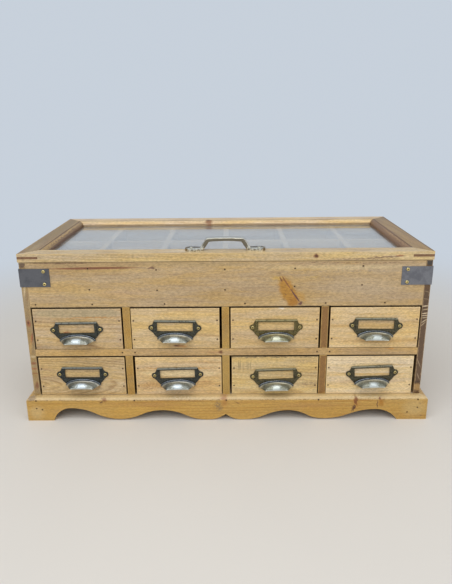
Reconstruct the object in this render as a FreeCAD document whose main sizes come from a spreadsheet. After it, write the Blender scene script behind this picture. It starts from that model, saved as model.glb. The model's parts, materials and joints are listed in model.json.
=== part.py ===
# Tabletop apothecary cabinet: eight small drawers in two rows under a glazed, hinged tray lid.
# Millimetres. +X right, +Y to the back, +Z up. Origin on the floor under the middle of the whole piece.
import FreeCAD, Part
import math
import os
import re
import Sketcher
from FreeCAD import Placement, Rotation, Vector

doc = FreeCAD.newDocument("apothecary_cabinet")

# Driving dimensions

dimensions = {
    "case_width": 598,              # across the outer faces of the side panels
    "case_depth": 284,              # front edge of the side panels to the back panel's outer face
    "side_thickness": 9.5,
    "back_thickness": 9,
    "front_board_thickness": 10,
    "front_board_height": 69,
    "tray_floor_thickness": 9.5,
    "upper_opening_height": 67,
    "shelf_thickness": 11.5,
    "lower_opening_height": 65.4,
    "bottom_thickness": 10,
    "partition_thickness": 11,
    "divider_thickness": 9,
    "divider_drop": 0.6,            # tray dividers stop this far below the top of the case
    "plinth_height": 39,
    "plinth_thickness": 10.3,
    "plinth_round": 6.5,            # rounding of the plinth's top outer edge
    "plinth_left_foot": 40.3,
    "plinth_right_foot": 45.3,
    "plinth_side_foot": 43,
    "plinth_back_foot": 38,
    "plinth_back_arch": 14,
    "block_side": 24,               # glue blocks in the plinth's corners
    "block_height": 26,
    "lid_overhang": 1,
    "lid_thickness": 12.4,
    "lid_gap": 0.6,                 # between the top of the case and the underside of the lid
    "rail_flat": 25,                # flat band of a lid rail, outside its moulding
    "rail_quirk": 0.4,              # small step between the flat band and the moulding
    "rail_moulding": 8.4,
    "sight_lip": 0.6,               # narrow upright lip inside the moulding
    "rebate_width": 5,
    "rebate_height": 3.6,
    "glass_thickness": 2,
    "glass_play": 0.4,
    "key_leg": 30,                  # corner key's length along each outer face of the lid
    "key_thickness": 3.5,
    "key_depth": 4.2,               # top of the key below the top of the lid
    "point_width": 10,              # glazing points that hold the glass up
    "point_reach": 3.5,
    "point_thickness": 0.6,
    "bracket_front_leg": 44.6,
    "bracket_side_leg": 44.6,
    "bracket_height": 27.7,
    "bracket_thickness": 1,
    "bracket_drop": 9,              # top of a corner bracket below the top of the case
    "bracket_screw_inset": 8.3,
    "bracket_screw_spacing": 19,
    "screw_head_radius": 2.45,
    "screw_crown_radius": 1.5,
    "screw_head_height": 1.3,
    "screw_shank_radius": 1.3,
    "screw_length": 7.5,
    "pilot_clearance": 0.1,
    "nail_radius": 0.9,
    "nail_length": 20,
    "nail_sink": 0.6,               # nail heads are punched this far below the wood's face
    "shelf_nail_offset": 9.5,       # each side of an outer partition's middle
    "handle_span": 79,              # across the legs at their feet
    "handle_top_span": 54,
    "handle_rise": 19.2,
    "handle_crown": 0.8,            # how far the bar's top curves up between its ends
    "handle_arch": 1.2,             # and its underside
    "handle_bar_thickness": 4.6,
    "handle_leg_thickness": 7,      # level, across a slanting leg
    "handle_bar_width": 10,
    "handle_bend": 6,
    "handle_edge_round": 1.3,
    "handle_foot_length": 19,       # beyond the leg
    "handle_foot_width": 18,
    "handle_foot_neck": 12,
    "handle_foot_thickness": 4,
    "handle_setback": 15,           # middle of the handle behind the front of the case
    "handle_across": 0.4,
    "handle_screw_inset": 9,        # from the outer end of a foot
    "hinge_length": 50,
    "hinge_spacing": 360,
    "knuckle_radius": 2.4,
    "knuckle_gap": 0.3,
    "pin_radius": 1.2,
    "pin_clearance": 0.05,
    "leaf_thickness": 1.2,
    "case_leaf_height": 20,
    "lid_leaf_height": 9,
    "hinge_screw_spacing": 36,
    "drawer_setback": 0.4,          # drawer fronts sit this far behind the front of the case
    "drawer_side_gap": 2.25,
    "drawer_top_gap": 2.3,
    "drawer_foot_gap": 0.3,
    "drawer_front_thickness": 10,
    "drawer_front_round": 0.8,
    "drawer_back_gap": 6,
    "drawer_wall": 7,
    "drawer_wall_drop": 4,          # drawer sides stop this far below the top of the front
    "drawer_bottom_thickness": 4,
    "drawer_bottom_rise": 4,        # underside of the drawer bottom above the foot of its sides
    "drawer_groove": 3,
    "pull_window_width": 53.4,
    "pull_window_height": 14,
    "pull_window_up": 1.8,          # middle of the window above the line of the two screws
    "pull_side_bar": 3.8,
    "pull_top_bar": 3.6,
    "pull_foot_bar": 2.3,
    "pull_plate_thickness": 1.2,
    "pull_bar_proud": 1.4,          # how far the bars round the window stand off the plate
    "pull_shoulder": 2.3,           # plate beyond the side bars, where the ears begin
    "pull_shoulder_up": 7.6,
    "pull_ear_gap": 4.5,            # side bar to the middle of the screw
    "pull_ear_radius": 4.7,
    "pull_ear_turn": 55,            # degrees of the ear's round end above and below its tip
    "pull_haunch": 0.9,             # plate beyond the side bars, where the ears end
    "pull_haunch_down": 10.5,
    "cup_width": 54,
    "cup_drop": 18.2,               # rim of the finger cup below the line of the two screws
    "cup_height": 11,
    "cup_projection": 14.8,
    "cup_wall": 1.2,
    "cup_lip": 1,                   # rim of the cup below the foot of the plate
    "cup_corner": 2,
}

# How each drawer sits and how its pull was put on, from the top left drawer to the bottom right one.
# Play runs from -1, hard against the left of the opening, to 1. The pull's place is from the middle
# of the drawer front, and its tilt is in degrees.
fitting = {
    1: {"play": -0.1, "across": -1.8, "up": -0.5, "tilt": 0.6},
    2: {"play": -0.6, "across": -0.7, "up": 1.5, "tilt": -0.8},
    3: {"play": -0.1, "across": 1.9, "up": 1.9, "tilt": 0.3},
    4: {"play": 0.2, "across": 2.2, "up": 3.5, "tilt": -0.8},
    5: {"play": 0.1, "across": 0.3, "up": 3.7, "tilt": -0.3},
    6: {"play": 0.4, "across": -1.7, "up": 2.0, "tilt": 1.5},
    7: {"play": 0.4, "across": 1.7, "up": -0.4, "tilt": 1.8},
    8: {"play": -0.7, "across": 3.5, "up": 3.7, "tilt": 2.1},
}

# Nails driven by hand. In the front board, one above the other into the end of each tray divider:
# how far off the divider's middle, and how far below the top of the case.
divider_nails = {
    1: {"off": -3.2, "high": 9.5, "low": 41.5},
    2: {"off": -1.8, "high": 12, "low": 43},
    3: {"off": -0.3, "high": 12, "low": 43},
    4: {"off": 3.2, "high": 11.3, "low": 38.3},
    5: {"off": 3.2, "high": 8.3, "low": 36.7},
}
# In the plinth's corners: how far in from the side of the case, and up from the floor.
corner_nail_places = {
    "left_outer": (4.5, 21),
    "left_inner": (13.4, 19),
    "right_outer": (4.5, 20.5),
    "right_inner": (19.8, 12.6),
}

drawer_columns = 4
tray_columns = 6
drawer_nail_shares = (0.23, 0.7)    # up each drawer front

# Radius of an arc as a share of the straight line between its ends
quarter_bow = 0.7072
neck_bow = 0.8
armpit_bow = 1.75

# The lower edge of the plinth, from left to right: share of the half length, and height in mm. It
# runs in arches between low dips, with a small cusp in the middle.
front_skirt = {
    "left_arch": (-0.779, 21.5),
    "left_dip": (-0.534, 2.4),
    "left_inner_arch": (-0.32, 17.5),
    "left_low": (-0.094, 0.7),
    "cusp": (-0.003, 10.4),
    "right_low": (0.081, 0.7),
    "right_inner_arch": (0.31, 16.6),
    "right_dip": (0.485, 2.2),
    "right_arch": (0.744, 18),
}
side_skirt = {
    "side_arch": (-0.53, 18),
    "side_low": (-0.183, 1.5),
    "side_cusp": (0, 9),
    "side_low_again": (0.183, 1.5),
    "side_arch_again": (0.53, 18),
}

# Sizes that follow from the driving ones

formulas = {
    "inner_width": "case_width - 2 * side_thickness",
    "cup_reach": "pull_plate_thickness + cup_projection - drawer_setback",
    "hinge_reach": "knuckle_gap + 2 * knuckle_radius",
    "overall_depth": "cup_reach + case_depth + hinge_reach",
    "front_y": "cup_reach - overall_depth / 2",
    "back_y": "front_y + case_depth",
    "inner_back_y": "back_y - back_thickness",
    "inner_depth": "case_depth - back_thickness",
    "case_foot": "plinth_height - bottom_thickness",
    "shelf_foot": "plinth_height + lower_opening_height",
    "upper_foot": "shelf_foot + shelf_thickness",
    "tray_foot": "upper_foot + upper_opening_height",
    "case_top": "tray_foot + front_board_height",
    "tray_floor_top": "tray_foot + tray_floor_thickness",
    "divider_height": "case_top - divider_drop - tray_floor_top",
    "tray_front_y": "front_y + front_board_thickness",
    "tray_depth": "inner_back_y - tray_front_y",
    "opening_width": f"(inner_width - {drawer_columns - 1} * partition_thickness) / {drawer_columns}",
    "opening_pitch": "opening_width + partition_thickness",
    "cell_pitch": f"(inner_width + divider_thickness) / {tray_columns}",
    "plinth_width": "case_width + 2 * plinth_thickness",
    "plinth_depth": "case_depth + plinth_thickness",
    "lid_width": "case_width + 2 * lid_overhang",
    "lid_depth": "case_depth + lid_overhang",
    "lid_foot": "case_top + lid_gap",
    "lid_top": "lid_foot + lid_thickness",
    "rail_width": "rail_flat + rail_moulding + sight_lip",
    "rebate_wall": "rail_width - rebate_width",
    "moulding_foot": "rebate_height + rail_quirk",
    "moulding_top": "lid_thickness - rail_quirk",
    "glass_foot": "rebate_height - glass_thickness",
    "key_foot": "lid_thickness - key_depth - key_thickness",
    "hinge_axis_y": "back_y + knuckle_gap + knuckle_radius",
    "hinge_axis_z": "case_top + lid_gap / 2",
    "drawer_width": "opening_width - 2 * drawer_side_gap",
    "drawer_face_y": "front_y + drawer_setback",
    "drawer_box_y": "drawer_face_y + drawer_front_thickness",
    "drawer_box_length": "inner_back_y - drawer_back_gap - drawer_box_y",
    "handle_screw_across": "handle_span / 2 + handle_foot_length - handle_screw_inset",
    "pull_frame_half": "pull_window_width / 2 + pull_side_bar",
    "pull_window_top": "pull_window_up + pull_window_height / 2",
    "pull_window_foot": "pull_window_up - pull_window_height / 2",
    "pull_frame_top": "pull_window_top + pull_top_bar",
    "pull_frame_foot": "pull_window_foot - pull_foot_bar",
    "pull_screw_across": "pull_frame_half + pull_ear_gap",
    "pull_ear_end": "pull_screw_across + pull_ear_radius * cos(pull_ear_turn)",
    "pull_ear_end_up": "pull_ear_radius * sin(pull_ear_turn)",
}

sheet = doc.addObject("Spreadsheet::Sheet", "Dimensions")
cells = {name: str(size) for name, size in dimensions.items()}
for number, seat in fitting.items():
    for word, amount in seat.items():
        cells[f"drawer_{number}_{word}"] = str(amount)
for number, drive in divider_nails.items():
    for word, amount in drive.items():
        cells[f"divider_nail_{number}_{word}"] = str(amount)
for name, (inset, up) in corner_nail_places.items():
    cells[f"corner_nail_{name}_inset"] = str(inset)
    cells[f"corner_nail_{name}_up"] = str(up)
for name, (share, rise) in (front_skirt | side_skirt).items():
    cells[f"skirt_{name}_rise"] = str(rise)
cells.update({name: "=" + formula for name, formula in formulas.items()})
for row, (name, content) in enumerate(cells.items(), start=1):
    sheet.set(f"A{row}", name)
    sheet.set(f"B{row}", content)
    sheet.setAlias(f"B{row}", name)
doc.recompute()


# Helpers

def bound(text):
    """An expression with each dimension's name pointing at the sheet."""
    return re.sub(r"[a-z][a-z0-9_]*", lambda m: "Dimensions." + m[0] if m[0] in cells else m[0], str(text))


def value(text):
    """What an expression comes to, as a plain number."""
    return float(sheet.evalExpression(str(text)))


def bind(item, **sizes):
    """Bind properties of an object to expressions."""
    for name, text in sizes.items():
        item.setExpression(name, bound(text))


def place(item, x, y, z):
    """Bind where an object stands."""
    for axis, text in (("x", x), ("y", y), ("z", z)):
        item.setExpression("Placement.Base." + axis, bound(text))
    return item


def box(name, corner, size):
    """A block from its lowest corner."""
    block = doc.addObject("Part::Box", name)
    bind(block, Length=size[0], Width=size[1], Height=size[2])
    return place(block, *corner)


def rod(name, radius, height, start, along, end_radius=None):
    """A round bar, or a cone where it has an end radius, from its start point along a direction."""
    kind = "Part::Cone" if end_radius else "Part::Cylinder"
    bar = doc.addObject(kind, name)
    if end_radius:
        bind(bar, Radius1=radius, Radius2=end_radius, Height=height)
    else:
        bind(bar, Radius=radius, Height=height)
    bar.Placement = Placement(Vector(), Rotation(Vector(0, 0, 1), Vector(*along)))
    return place(bar, *start)


def group(name, members):
    """Separate solids kept together."""
    bundle = doc.addObject("Part::Compound", name)
    bundle.Links = members
    return bundle


def cut(name, base, tools):
    """A piece with other shapes taken out of it."""
    piece = doc.addObject("Part::Cut", name)
    piece.Base = base
    piece.Tool = tools[0] if len(tools) == 1 else group(name + "_cutters", tools)
    return piece


def fuse(name, members):
    """One solid from several shapes."""
    piece = doc.addObject("Part::MultiFuse", name)
    piece.Shapes = members
    return piece


def add_sketch(body, role, name, lift=None):
    """A sketch on one of the body's own origin planes."""
    sketch = body.newObject("Sketcher::SketchObject", name)
    plane = next(part for part in body.Origin.OriginFeatures if part.Role == role)
    sketch.AttachmentSupport = [(plane, "")]
    sketch.MapMode = "FlatFace"
    if lift:
        sketch.setExpression("AttachmentOffset.Base.z", bound(lift))
    return sketch


def pin_point(sketch, edge, end, corner):
    """Tie the end of an edge to a place given by two expressions."""
    for kind, text in zip(("DistanceX", "DistanceY"), corner):
        index = sketch.addConstraint(Sketcher.Constraint(kind, -1, 1, edge, end, value(text)))
        sketch.setExpression(f"Constraints[{index}]", bound(text))


def outline(sketch, corners):
    """A closed outline. A corner is (across, up), or (across, up, radius, side) where an arc runs to
    it, with side 1 for an arc whose centre is on the left of the way and -1 for the right."""
    ends = []
    for index, corner in enumerate(corners):
        start = Vector(*(value(text) for text in corners[index - 1][:2]), 0)
        stop = Vector(*(value(text) for text in corner[:2]), 0)
        if len(corner) == 2:
            edge = sketch.addGeometry(Part.LineSegment(start, stop), False)
            ends.append((edge, 1, 2))
            continue
        radius = value(corner[2])
        chord = stop - start
        rise = math.sqrt(radius ** 2 - chord.Length ** 2 / 4)
        left = Vector(-chord.y, chord.x, 0).normalize()
        centre = (start + stop) / 2 + left * rise * corner[3]
        first, last = (start, stop) if corner[3] > 0 else (stop, start)
        angles = [math.atan2(point.y - centre.y, point.x - centre.x) for point in (first, last)]
        circle = Part.Circle(centre, Vector(0, 0, 1), radius)
        edge = sketch.addGeometry(Part.ArcOfCircle(circle, angles[0], angles[1]), False)
        ends.append((edge, 1, 2) if corner[3] > 0 else (edge, 2, 1))
        limit = sketch.addConstraint(Sketcher.Constraint("Radius", edge, radius))
        sketch.setExpression(f"Constraints[{limit}]", bound(corner[2]))
    for index, (edge, _, tail) in enumerate(ends):
        following = ends[(index + 1) % len(ends)]
        sketch.addConstraint(Sketcher.Constraint("Coincident", edge, tail, following[0], following[1]))
        pin_point(sketch, edge, tail, corners[index][:2])
    return sketch


def bow(run, rise, share):
    """Radius of an arc over a run and a rise, as a share of the straight line between its ends."""
    return f"{share} * sqrt(({run}) * ({run}) + ({rise}) * ({rise}))"


def circles(sketch, centres, radius):
    """Round holes of one radius."""
    for centre in centres:
        middle = Vector(value(centre[0]), value(centre[1]), 0)
        edge = sketch.addGeometry(Part.Circle(middle, Vector(0, 0, 1), value(radius)), False)
        pin_point(sketch, edge, 3, centre)
        limit = sketch.addConstraint(Sketcher.Constraint("Radius", edge, value(radius)))
        sketch.setExpression(f"Constraints[{limit}]", bound(radius))
    return sketch


def pad(body, sketch, length, both_ways=False, backwards=False):
    """Grow a solid from a sketch."""
    feature = body.newObject("PartDesign::Pad", sketch.Name + "_pad")
    feature.Profile = sketch
    feature.Reversed = backwards
    if both_ways:
        feature.SideType = "Symmetric"
    bind(feature, Length=length)
    return feature


def pocket(body, sketch, length=None, backwards=False):
    """Take a sketch's shape out of a solid, right through where it has no length."""
    feature = body.newObject("PartDesign::Pocket", sketch.Name + "_pocket")
    feature.Profile = sketch
    feature.Reversed = backwards
    if length:
        bind(feature, Length=length)
    else:
        feature.Type = "ThroughAll"
        feature.SideType = "Symmetric"
    doc.recompute()
    if feature.Shape.Volume >= feature.BaseFeature.Shape.Volume:
        raise RuntimeError(f"{feature.Name} takes nothing away")
    return feature


def round_edges(body, radius, wanted):
    """Round the edges of the body's last feature that pass a test."""
    doc.recompute()
    base = body.Tip
    names = [f"Edge{index}" for index, edge in enumerate(base.Shape.Edges, start=1) if wanted(edge)]
    feature = body.newObject("PartDesign::Fillet", body.Name + "_fillet")
    feature.Base = (base, names)
    bind(feature, Radius=radius)
    return feature


def near(first, second):
    """Whether two lengths are the same."""
    return abs(first - second) < 1e-4


def screw(name, at, along):
    """A round-headed wood screw whose head sits on the surface at a point, shank going along."""
    back = tuple(-part for part in along)
    shank = rod(name + "_shank", "screw_shank_radius", "screw_length", at, along)
    head = rod(name + "_head", "screw_head_radius", "screw_head_height", at, back, "screw_crown_radius")
    return fuse(name, [shank, head])


def screws(name, spots):
    """A list of screws."""
    return [screw(f"{name}_screw_{count}", *spot) for count, spot in enumerate(spots, start=1)]


def screw_holes(name, spots):
    """The holes that the screws' shanks go into."""
    radius = "screw_shank_radius + pilot_clearance"
    return [rod(f"{name}_screw_hole_{count}", radius, "screw_length", *spot)
            for count, spot in enumerate(spots, start=1)]


def nails(name, places):
    """Thin nails, each punched a little below the face at a point on that face, going back."""
    return [rod(f"{name}_nail_{count}", "nail_radius", "nail_length", (x, f"{y} + nail_sink", z), (0, 1, 0))
            for count, (x, y, z) in enumerate(places, start=1)]


def nail_holes(name, places):
    """The holes of the nails, open at the face."""
    return [rod(f"{name}_nail_hole_{count}", "nail_radius", "nail_length + nail_sink", spot, (0, 1, 0))
            for count, spot in enumerate(places, start=1)]


# Nails in the face of the case: across, up, and what they hold

partition_places = [f"opening_pitch * {column - drawer_columns / 2}" for column in range(1, drawer_columns)]
divider_places = [f"cell_pitch * {column - tray_columns / 2}" for column in range(1, tray_columns)]
floor_nail_shares = (-0.97, -0.68, -0.31, 0.1, 0.51, 0.81)
plinth_nail_shares = (-0.49, 0, 0.49)

tray_nails = []
for number, x in enumerate(divider_places, start=1):
    for word in ("high", "low"):
        drop = f"case_top - divider_nail_{number}_{word}"
        tray_nails.append((f"{x} + divider_nail_{number}_off", "front_y", drop))
floor_level = "tray_foot + tray_floor_thickness / 2"
floor_nails = [(f"inner_width / 2 * {share}", "front_y", floor_level) for share in floor_nail_shares]
shelf_nails = []
shelf_level = "shelf_foot + shelf_thickness / 2"
for x in (partition_places[0], partition_places[-1]):
    for side in (-1, 1):
        shelf_nails.append((f"{x} + {side} * shelf_nail_offset", "front_y", shelf_level))
plinth_face = "front_y - plinth_thickness"
plinth_level = "plinth_height - bottom_thickness / 2"
plinth_nails = [(f"inner_width / 2 * {share}", plinth_face, plinth_level) for share in plinth_nail_shares]
corner_nails = []
side_nails = []
for name in corner_nail_places:
    side = -1 if name.startswith("left") else 1
    inset = f"{side} * (case_width / 2 - corner_nail_{name}_inset)"
    corner_nails.append((inset, plinth_face, f"corner_nail_{name}_up"))
for side in (-1, 1):
    side_nails.append((f"{side} * (case_width / 2 - side_thickness / 2)", plinth_face, plinth_level))


# Corner brackets and their screws

bracket_foot = "case_top - bracket_drop - bracket_height"
bracket_middle = "case_top - bracket_drop - bracket_height / 2"


def corner_bracket(name, side):
    """Sheet-metal angle round one front corner of the case."""
    body = doc.addObject("PartDesign::Body", name)
    out = f"{side} * (case_width / 2 + bracket_thickness)"
    skin = f"{side} * case_width / 2"
    front_end = f"{side} * (case_width / 2 + bracket_thickness - bracket_front_leg)"
    profile = add_sketch(body, "XY_Plane", name + "_profile")
    outline(profile, [
        (out, "-bracket_thickness"),
        (out, "bracket_side_leg - bracket_thickness"),
        (skin, "bracket_side_leg - bracket_thickness"),
        (skin, "0"),
        (front_end, "0"),
        (front_end, "-bracket_thickness"),
    ])
    pad(body, profile, "bracket_height")
    place(body, "0", "front_y", bracket_foot)
    return body


def bracket_screws(side):
    """Where the screws of one bracket sit, and which way they go in."""
    spots = []
    for half in (-0.5, 0.5):
        up = f"{bracket_middle} + bracket_screw_spacing * {half}"
        across = f"{side} * (case_width / 2 + bracket_thickness - bracket_front_leg + bracket_screw_inset)"
        spots.append(((across, "front_y - bracket_thickness", up), (0, 1, 0)))
        back = "front_y + bracket_side_leg - bracket_thickness - bracket_screw_inset"
        spots.append(((f"{side} * (case_width / 2 + bracket_thickness)", back, up), (-side, 0, 0)))
    return spots


bracket_spots = bracket_screws(-1) + bracket_screws(1)

# Hinge places, and the screws of the case leaves

hinge_sides = (-1, 1)
case_leaf_top = "hinge_axis_z - knuckle_radius - knuckle_gap"
case_hinge_spots = []
lid_hinge_spots = []
for side in hinge_sides:
    for half in (-0.5, 0, 0.5):
        x = f"{side} * hinge_spacing / 2 + hinge_screw_spacing * {half}"
        case_up = f"{case_leaf_top} - case_leaf_height / 2"
        case_hinge_spots.append(((x, "back_y + leaf_thickness", case_up), (0, -1, 0)))
        lid_up = "hinge_axis_z + knuckle_radius + knuckle_gap + lid_leaf_height / 2"
        lid_hinge_spots.append(((x, "back_y + leaf_thickness", lid_up), (0, -1, 0)))


# The case

nodes = []


def side_panel(name, side):
    """One side of the case, over its full height."""
    inner = "-case_width / 2" if side < 0 else "case_width / 2 - side_thickness"
    block = box(name + "_board", (inner, "front_y", "case_foot"),
                ("side_thickness", "case_depth", "case_top - case_foot"))
    tools = screw_holes(name, [spot for spot in bracket_spots if spot[1][0] == -side])
    own_nails = [spot for spot in side_nails if spot[0].startswith(f"{side} ")]
    return cut(name, block, tools + nail_holes(name, own_nails))


nodes.append(side_panel("case_side_left", -1))
nodes.append(side_panel("case_side_right", 1))

back_board = box("case_back_board", ("-inner_width / 2", "inner_back_y", "case_foot"),
                 ("inner_width", "back_thickness", "case_top - case_foot"))
nodes.append(cut("case_back", back_board, screw_holes("case_back", case_hinge_spots)))

front_block = box("front_board_block", ("-inner_width / 2", "front_y", "tray_foot"),
                  ("inner_width", "front_board_thickness", "front_board_height"))
front_screws = screw_holes("front_board", [spot for spot in bracket_spots if spot[1][1] == 1])
front_nails = nail_holes("front_board", tray_nails + floor_nails)
nodes.append(cut("front_board", front_block, front_screws + front_nails))

floor_block = box("tray_floor_board", ("-inner_width / 2", "tray_front_y", "tray_foot"),
                  ("inner_width", "tray_depth", "tray_floor_thickness"))
nodes.append(cut("tray_floor", floor_block, nail_holes("tray_floor", floor_nails)))

shelf_block = box("drawer_shelf_board", ("-inner_width / 2", "front_y", "shelf_foot"),
                  ("inner_width", "inner_depth", "shelf_thickness"))
nodes.append(cut("drawer_shelf", shelf_block, nail_holes("drawer_shelf", shelf_nails)))

bottom_block = box("case_bottom_board", ("-inner_width / 2", "front_y", "case_foot"),
                   ("inner_width", "inner_depth", "bottom_thickness"))
nodes.append(cut("case_bottom", bottom_block, nail_holes("case_bottom", plinth_nails)))

partitions = []
for row, (foot, height) in enumerate((("plinth_height", "lower_opening_height"),
                                      ("upper_foot", "upper_opening_height"))):
    for column, x in enumerate(partition_places):
        corner = (f"{x} - partition_thickness / 2", "front_y", foot)
        size = ("partition_thickness", "inner_depth", height)
        partitions.append(box(f"partition_{row}_{column}", corner, size))
nodes.append(group("drawer_partitions", partitions))


def tray_dividers():
    """Five boards from front to back, halved over one board that runs across."""
    middle = "tray_front_y + tray_depth / 2 - divider_thickness / 2"
    half = "divider_height / 2"
    boards = []
    cross_notches = []
    for column, x in enumerate(divider_places):
        left = f"{x} - divider_thickness / 2"
        board = box(f"divider_board_{column}", (left, "tray_front_y", "tray_floor_top"),
                    ("divider_thickness", "tray_depth", "divider_height"))
        notch = box(f"divider_notch_{column}", (left, middle, f"tray_floor_top + {half}"),
                    ("divider_thickness", "divider_thickness", half))
        holes = nail_holes(f"divider_{column}", tray_nails[2 * column:2 * column + 2])
        boards.append(cut(f"divider_{column}", board, [notch] + holes))
        cross_notches.append(box(f"cross_notch_{column}", (left, middle, "tray_floor_top"),
                                 ("divider_thickness", "divider_thickness", half)))
    cross = box("cross_divider_board", ("-inner_width / 2", middle, "tray_floor_top"),
                ("inner_width", "divider_thickness", "divider_height"))
    boards.append(cut("cross_divider", cross, cross_notches))
    return group("tray_dividers", boards)


nodes.append(tray_dividers())

# The plinth

def scallops(skirt, length, left_foot, right_foot):
    """The skirt's lower edge as outline corners, from foot to foot. Between two crests the line is
    two equal arcs that meet half way. At a foot it is one arc, level at the crest, and at the cusp
    one arc, level at the dip."""
    places = [(f"{left_foot} - {length} / 2", "0", "foot")]
    places += [(f"{length} / 2 * {share}", f"skirt_{name}_rise", name) for name, (share, _) in skirt.items()]
    places.append((f"{length} / 2 - {right_foot}", "0", "foot"))
    corners = [places[0][:2]]
    for (x0, z0, before), (x1, z1, after) in zip(places, places[1:]):
        rising = value(z1) > value(z0)
        run = f"({x1} - ({x0}))"
        rise = f"abs({z1} - {z0})"
        squares = f"({run} * {run} + {rise} * {rise})"
        ends = before + after
        if "foot" in ends or "cusp" in ends:
            corners.append((x1, z1, f"{squares} / (2 * {rise})", 1 if "cusp" in ends else -1))
            continue
        turn = 1 if rising else -1
        corners.append((f"({x0} + {x1}) / 2", f"({z0} + {z1}) / 2", f"{squares} / (4 * {rise})", turn))
        corners.append((x1, z1, f"{squares} / (4 * {rise})", -turn))
    return corners


def skirt_board(name, length, edge_line, mitres):
    """A plinth board with a scalloped lower edge and a rounded top outer edge. Its outer face looks
    along -Y, its middle is at x = 0, and it is mitred at the ends whose sides are given."""
    body = doc.addObject("PartDesign::Body", name)
    face = add_sketch(body, "XZ_Plane", name + "_face")
    outline(face, [(f"-{length} / 2", "0")] + edge_line + [
        (f"{length} / 2", "0"),
        (f"{length} / 2", "plinth_height"),
        (f"-{length} / 2", "plinth_height"),
    ])
    pad(body, face, "plinth_thickness", backwards=True)
    top = value("plinth_height")
    half = value(length) / 2

    def top_front(edge):
        span = edge.BoundBox
        return near(span.ZMin, top) and near(span.YMax, 0) and near(span.XMax, half)
    round_edges(body, "plinth_round", top_front)
    for side in mitres:
        end = f"{side} * {length} / 2"
        corner = add_sketch(body, "XY_Plane", f"{name}_mitre_{'right' if side > 0 else 'left'}")
        outline(corner, [
            (end, "0"),
            (end, "plinth_thickness"),
            (f"{side} * ({length} / 2 - plinth_thickness)", "plinth_thickness"),
        ])
        pocket(body, corner)
    return body


front_edge_line = scallops(front_skirt, "plinth_width", "plinth_left_foot", "plinth_right_foot")
skirt = place(skirt_board("front_skirt", "plinth_width", front_edge_line, (-1, 1)), "0", plinth_face, "0")
plinth_front_nails = plinth_nails + corner_nails + side_nails
nodes.append(cut("plinth_front", skirt, nail_holes("plinth_front", plinth_front_nails)))

side_edge_line = scallops(side_skirt, "plinth_depth", "plinth_side_foot", "plinth_side_foot")
for name, side in (("plinth_left", -1), ("plinth_right", 1)):
    board = skirt_board(name, "plinth_depth", side_edge_line, (-side,))
    board.Placement = Placement(Vector(), Rotation(Vector(0, 0, 1), 90 * side))
    nodes.append(place(board, f"{side} * plinth_width / 2", f"{plinth_face} + plinth_depth / 2", "0"))


def plinth_back_board():
    """A plain board under the back of the case, cut up between two feet."""
    body = doc.addObject("PartDesign::Body", "plinth_back")
    face = add_sketch(body, "XZ_Plane", "plinth_back_face")
    foot_end = "(case_width / 2 - plinth_back_foot)"
    arch = "plinth_back_arch"
    outline(face, [
        ("-case_width / 2", "0"),
        (f"-{foot_end}", "0"),
        (f"-{foot_end} + {arch}", arch, arch, -1),
        (f"{foot_end} - {arch}", arch),
        (foot_end, "0", arch, -1),
        ("case_width / 2", "0"),
        ("case_width / 2", "case_foot"),
        ("-case_width / 2", "case_foot"),
    ])
    pad(body, face, "plinth_thickness", backwards=True)
    return place(body, "0", "back_y - plinth_thickness", "0")


nodes.append(plinth_back_board())

blocks = []
block_foot = "case_foot - block_height"
for side in (-1, 1):
    inner = "-case_width / 2" if side < 0 else "case_width / 2 - block_side"
    front = box(f"front_block_board_{side + 1}", (inner, "front_y", block_foot),
                ("block_side", "block_side", "block_height"))
    own_nails = [spot for spot in corner_nails if spot[0].startswith(f"{side} ")]
    holes = nail_holes(f"front_block_{side + 1}", own_nails)
    blocks.append(cut(f"front_block_{side + 1}", front, holes))
    blocks.append(box(f"back_block_{side + 1}", (inner, "back_y - plinth_thickness - block_side", block_foot),
                      ("block_side", "block_side", "block_height")))
nodes.append(group("plinth_corner_blocks", blocks))

brackets = []
for name, side in (("left", -1), ("right", 1)):
    plate = corner_bracket(f"corner_bracket_{name}_plate", side)
    holes = screw_holes(f"corner_bracket_{name}", bracket_screws(side))
    brackets.append(cut(f"corner_bracket_{name}", plate, holes))
nodes.append(group("corner_brackets", brackets))

nodes.append(group("case_screws", screws("case", bracket_spots + case_hinge_spots)))

case_nail_places = tray_nails + floor_nails + shelf_nails + plinth_front_nails
nodes.append(group("case_nails", nails("case", case_nail_places)))


# The lid

def glazing_spots(length, count):
    """Where the glazing points sit along a rail."""
    return [f"{length} * {(2 * step + 1) / (2 * count) - 0.5} - point_width / 2" for step in range(count)]


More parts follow.
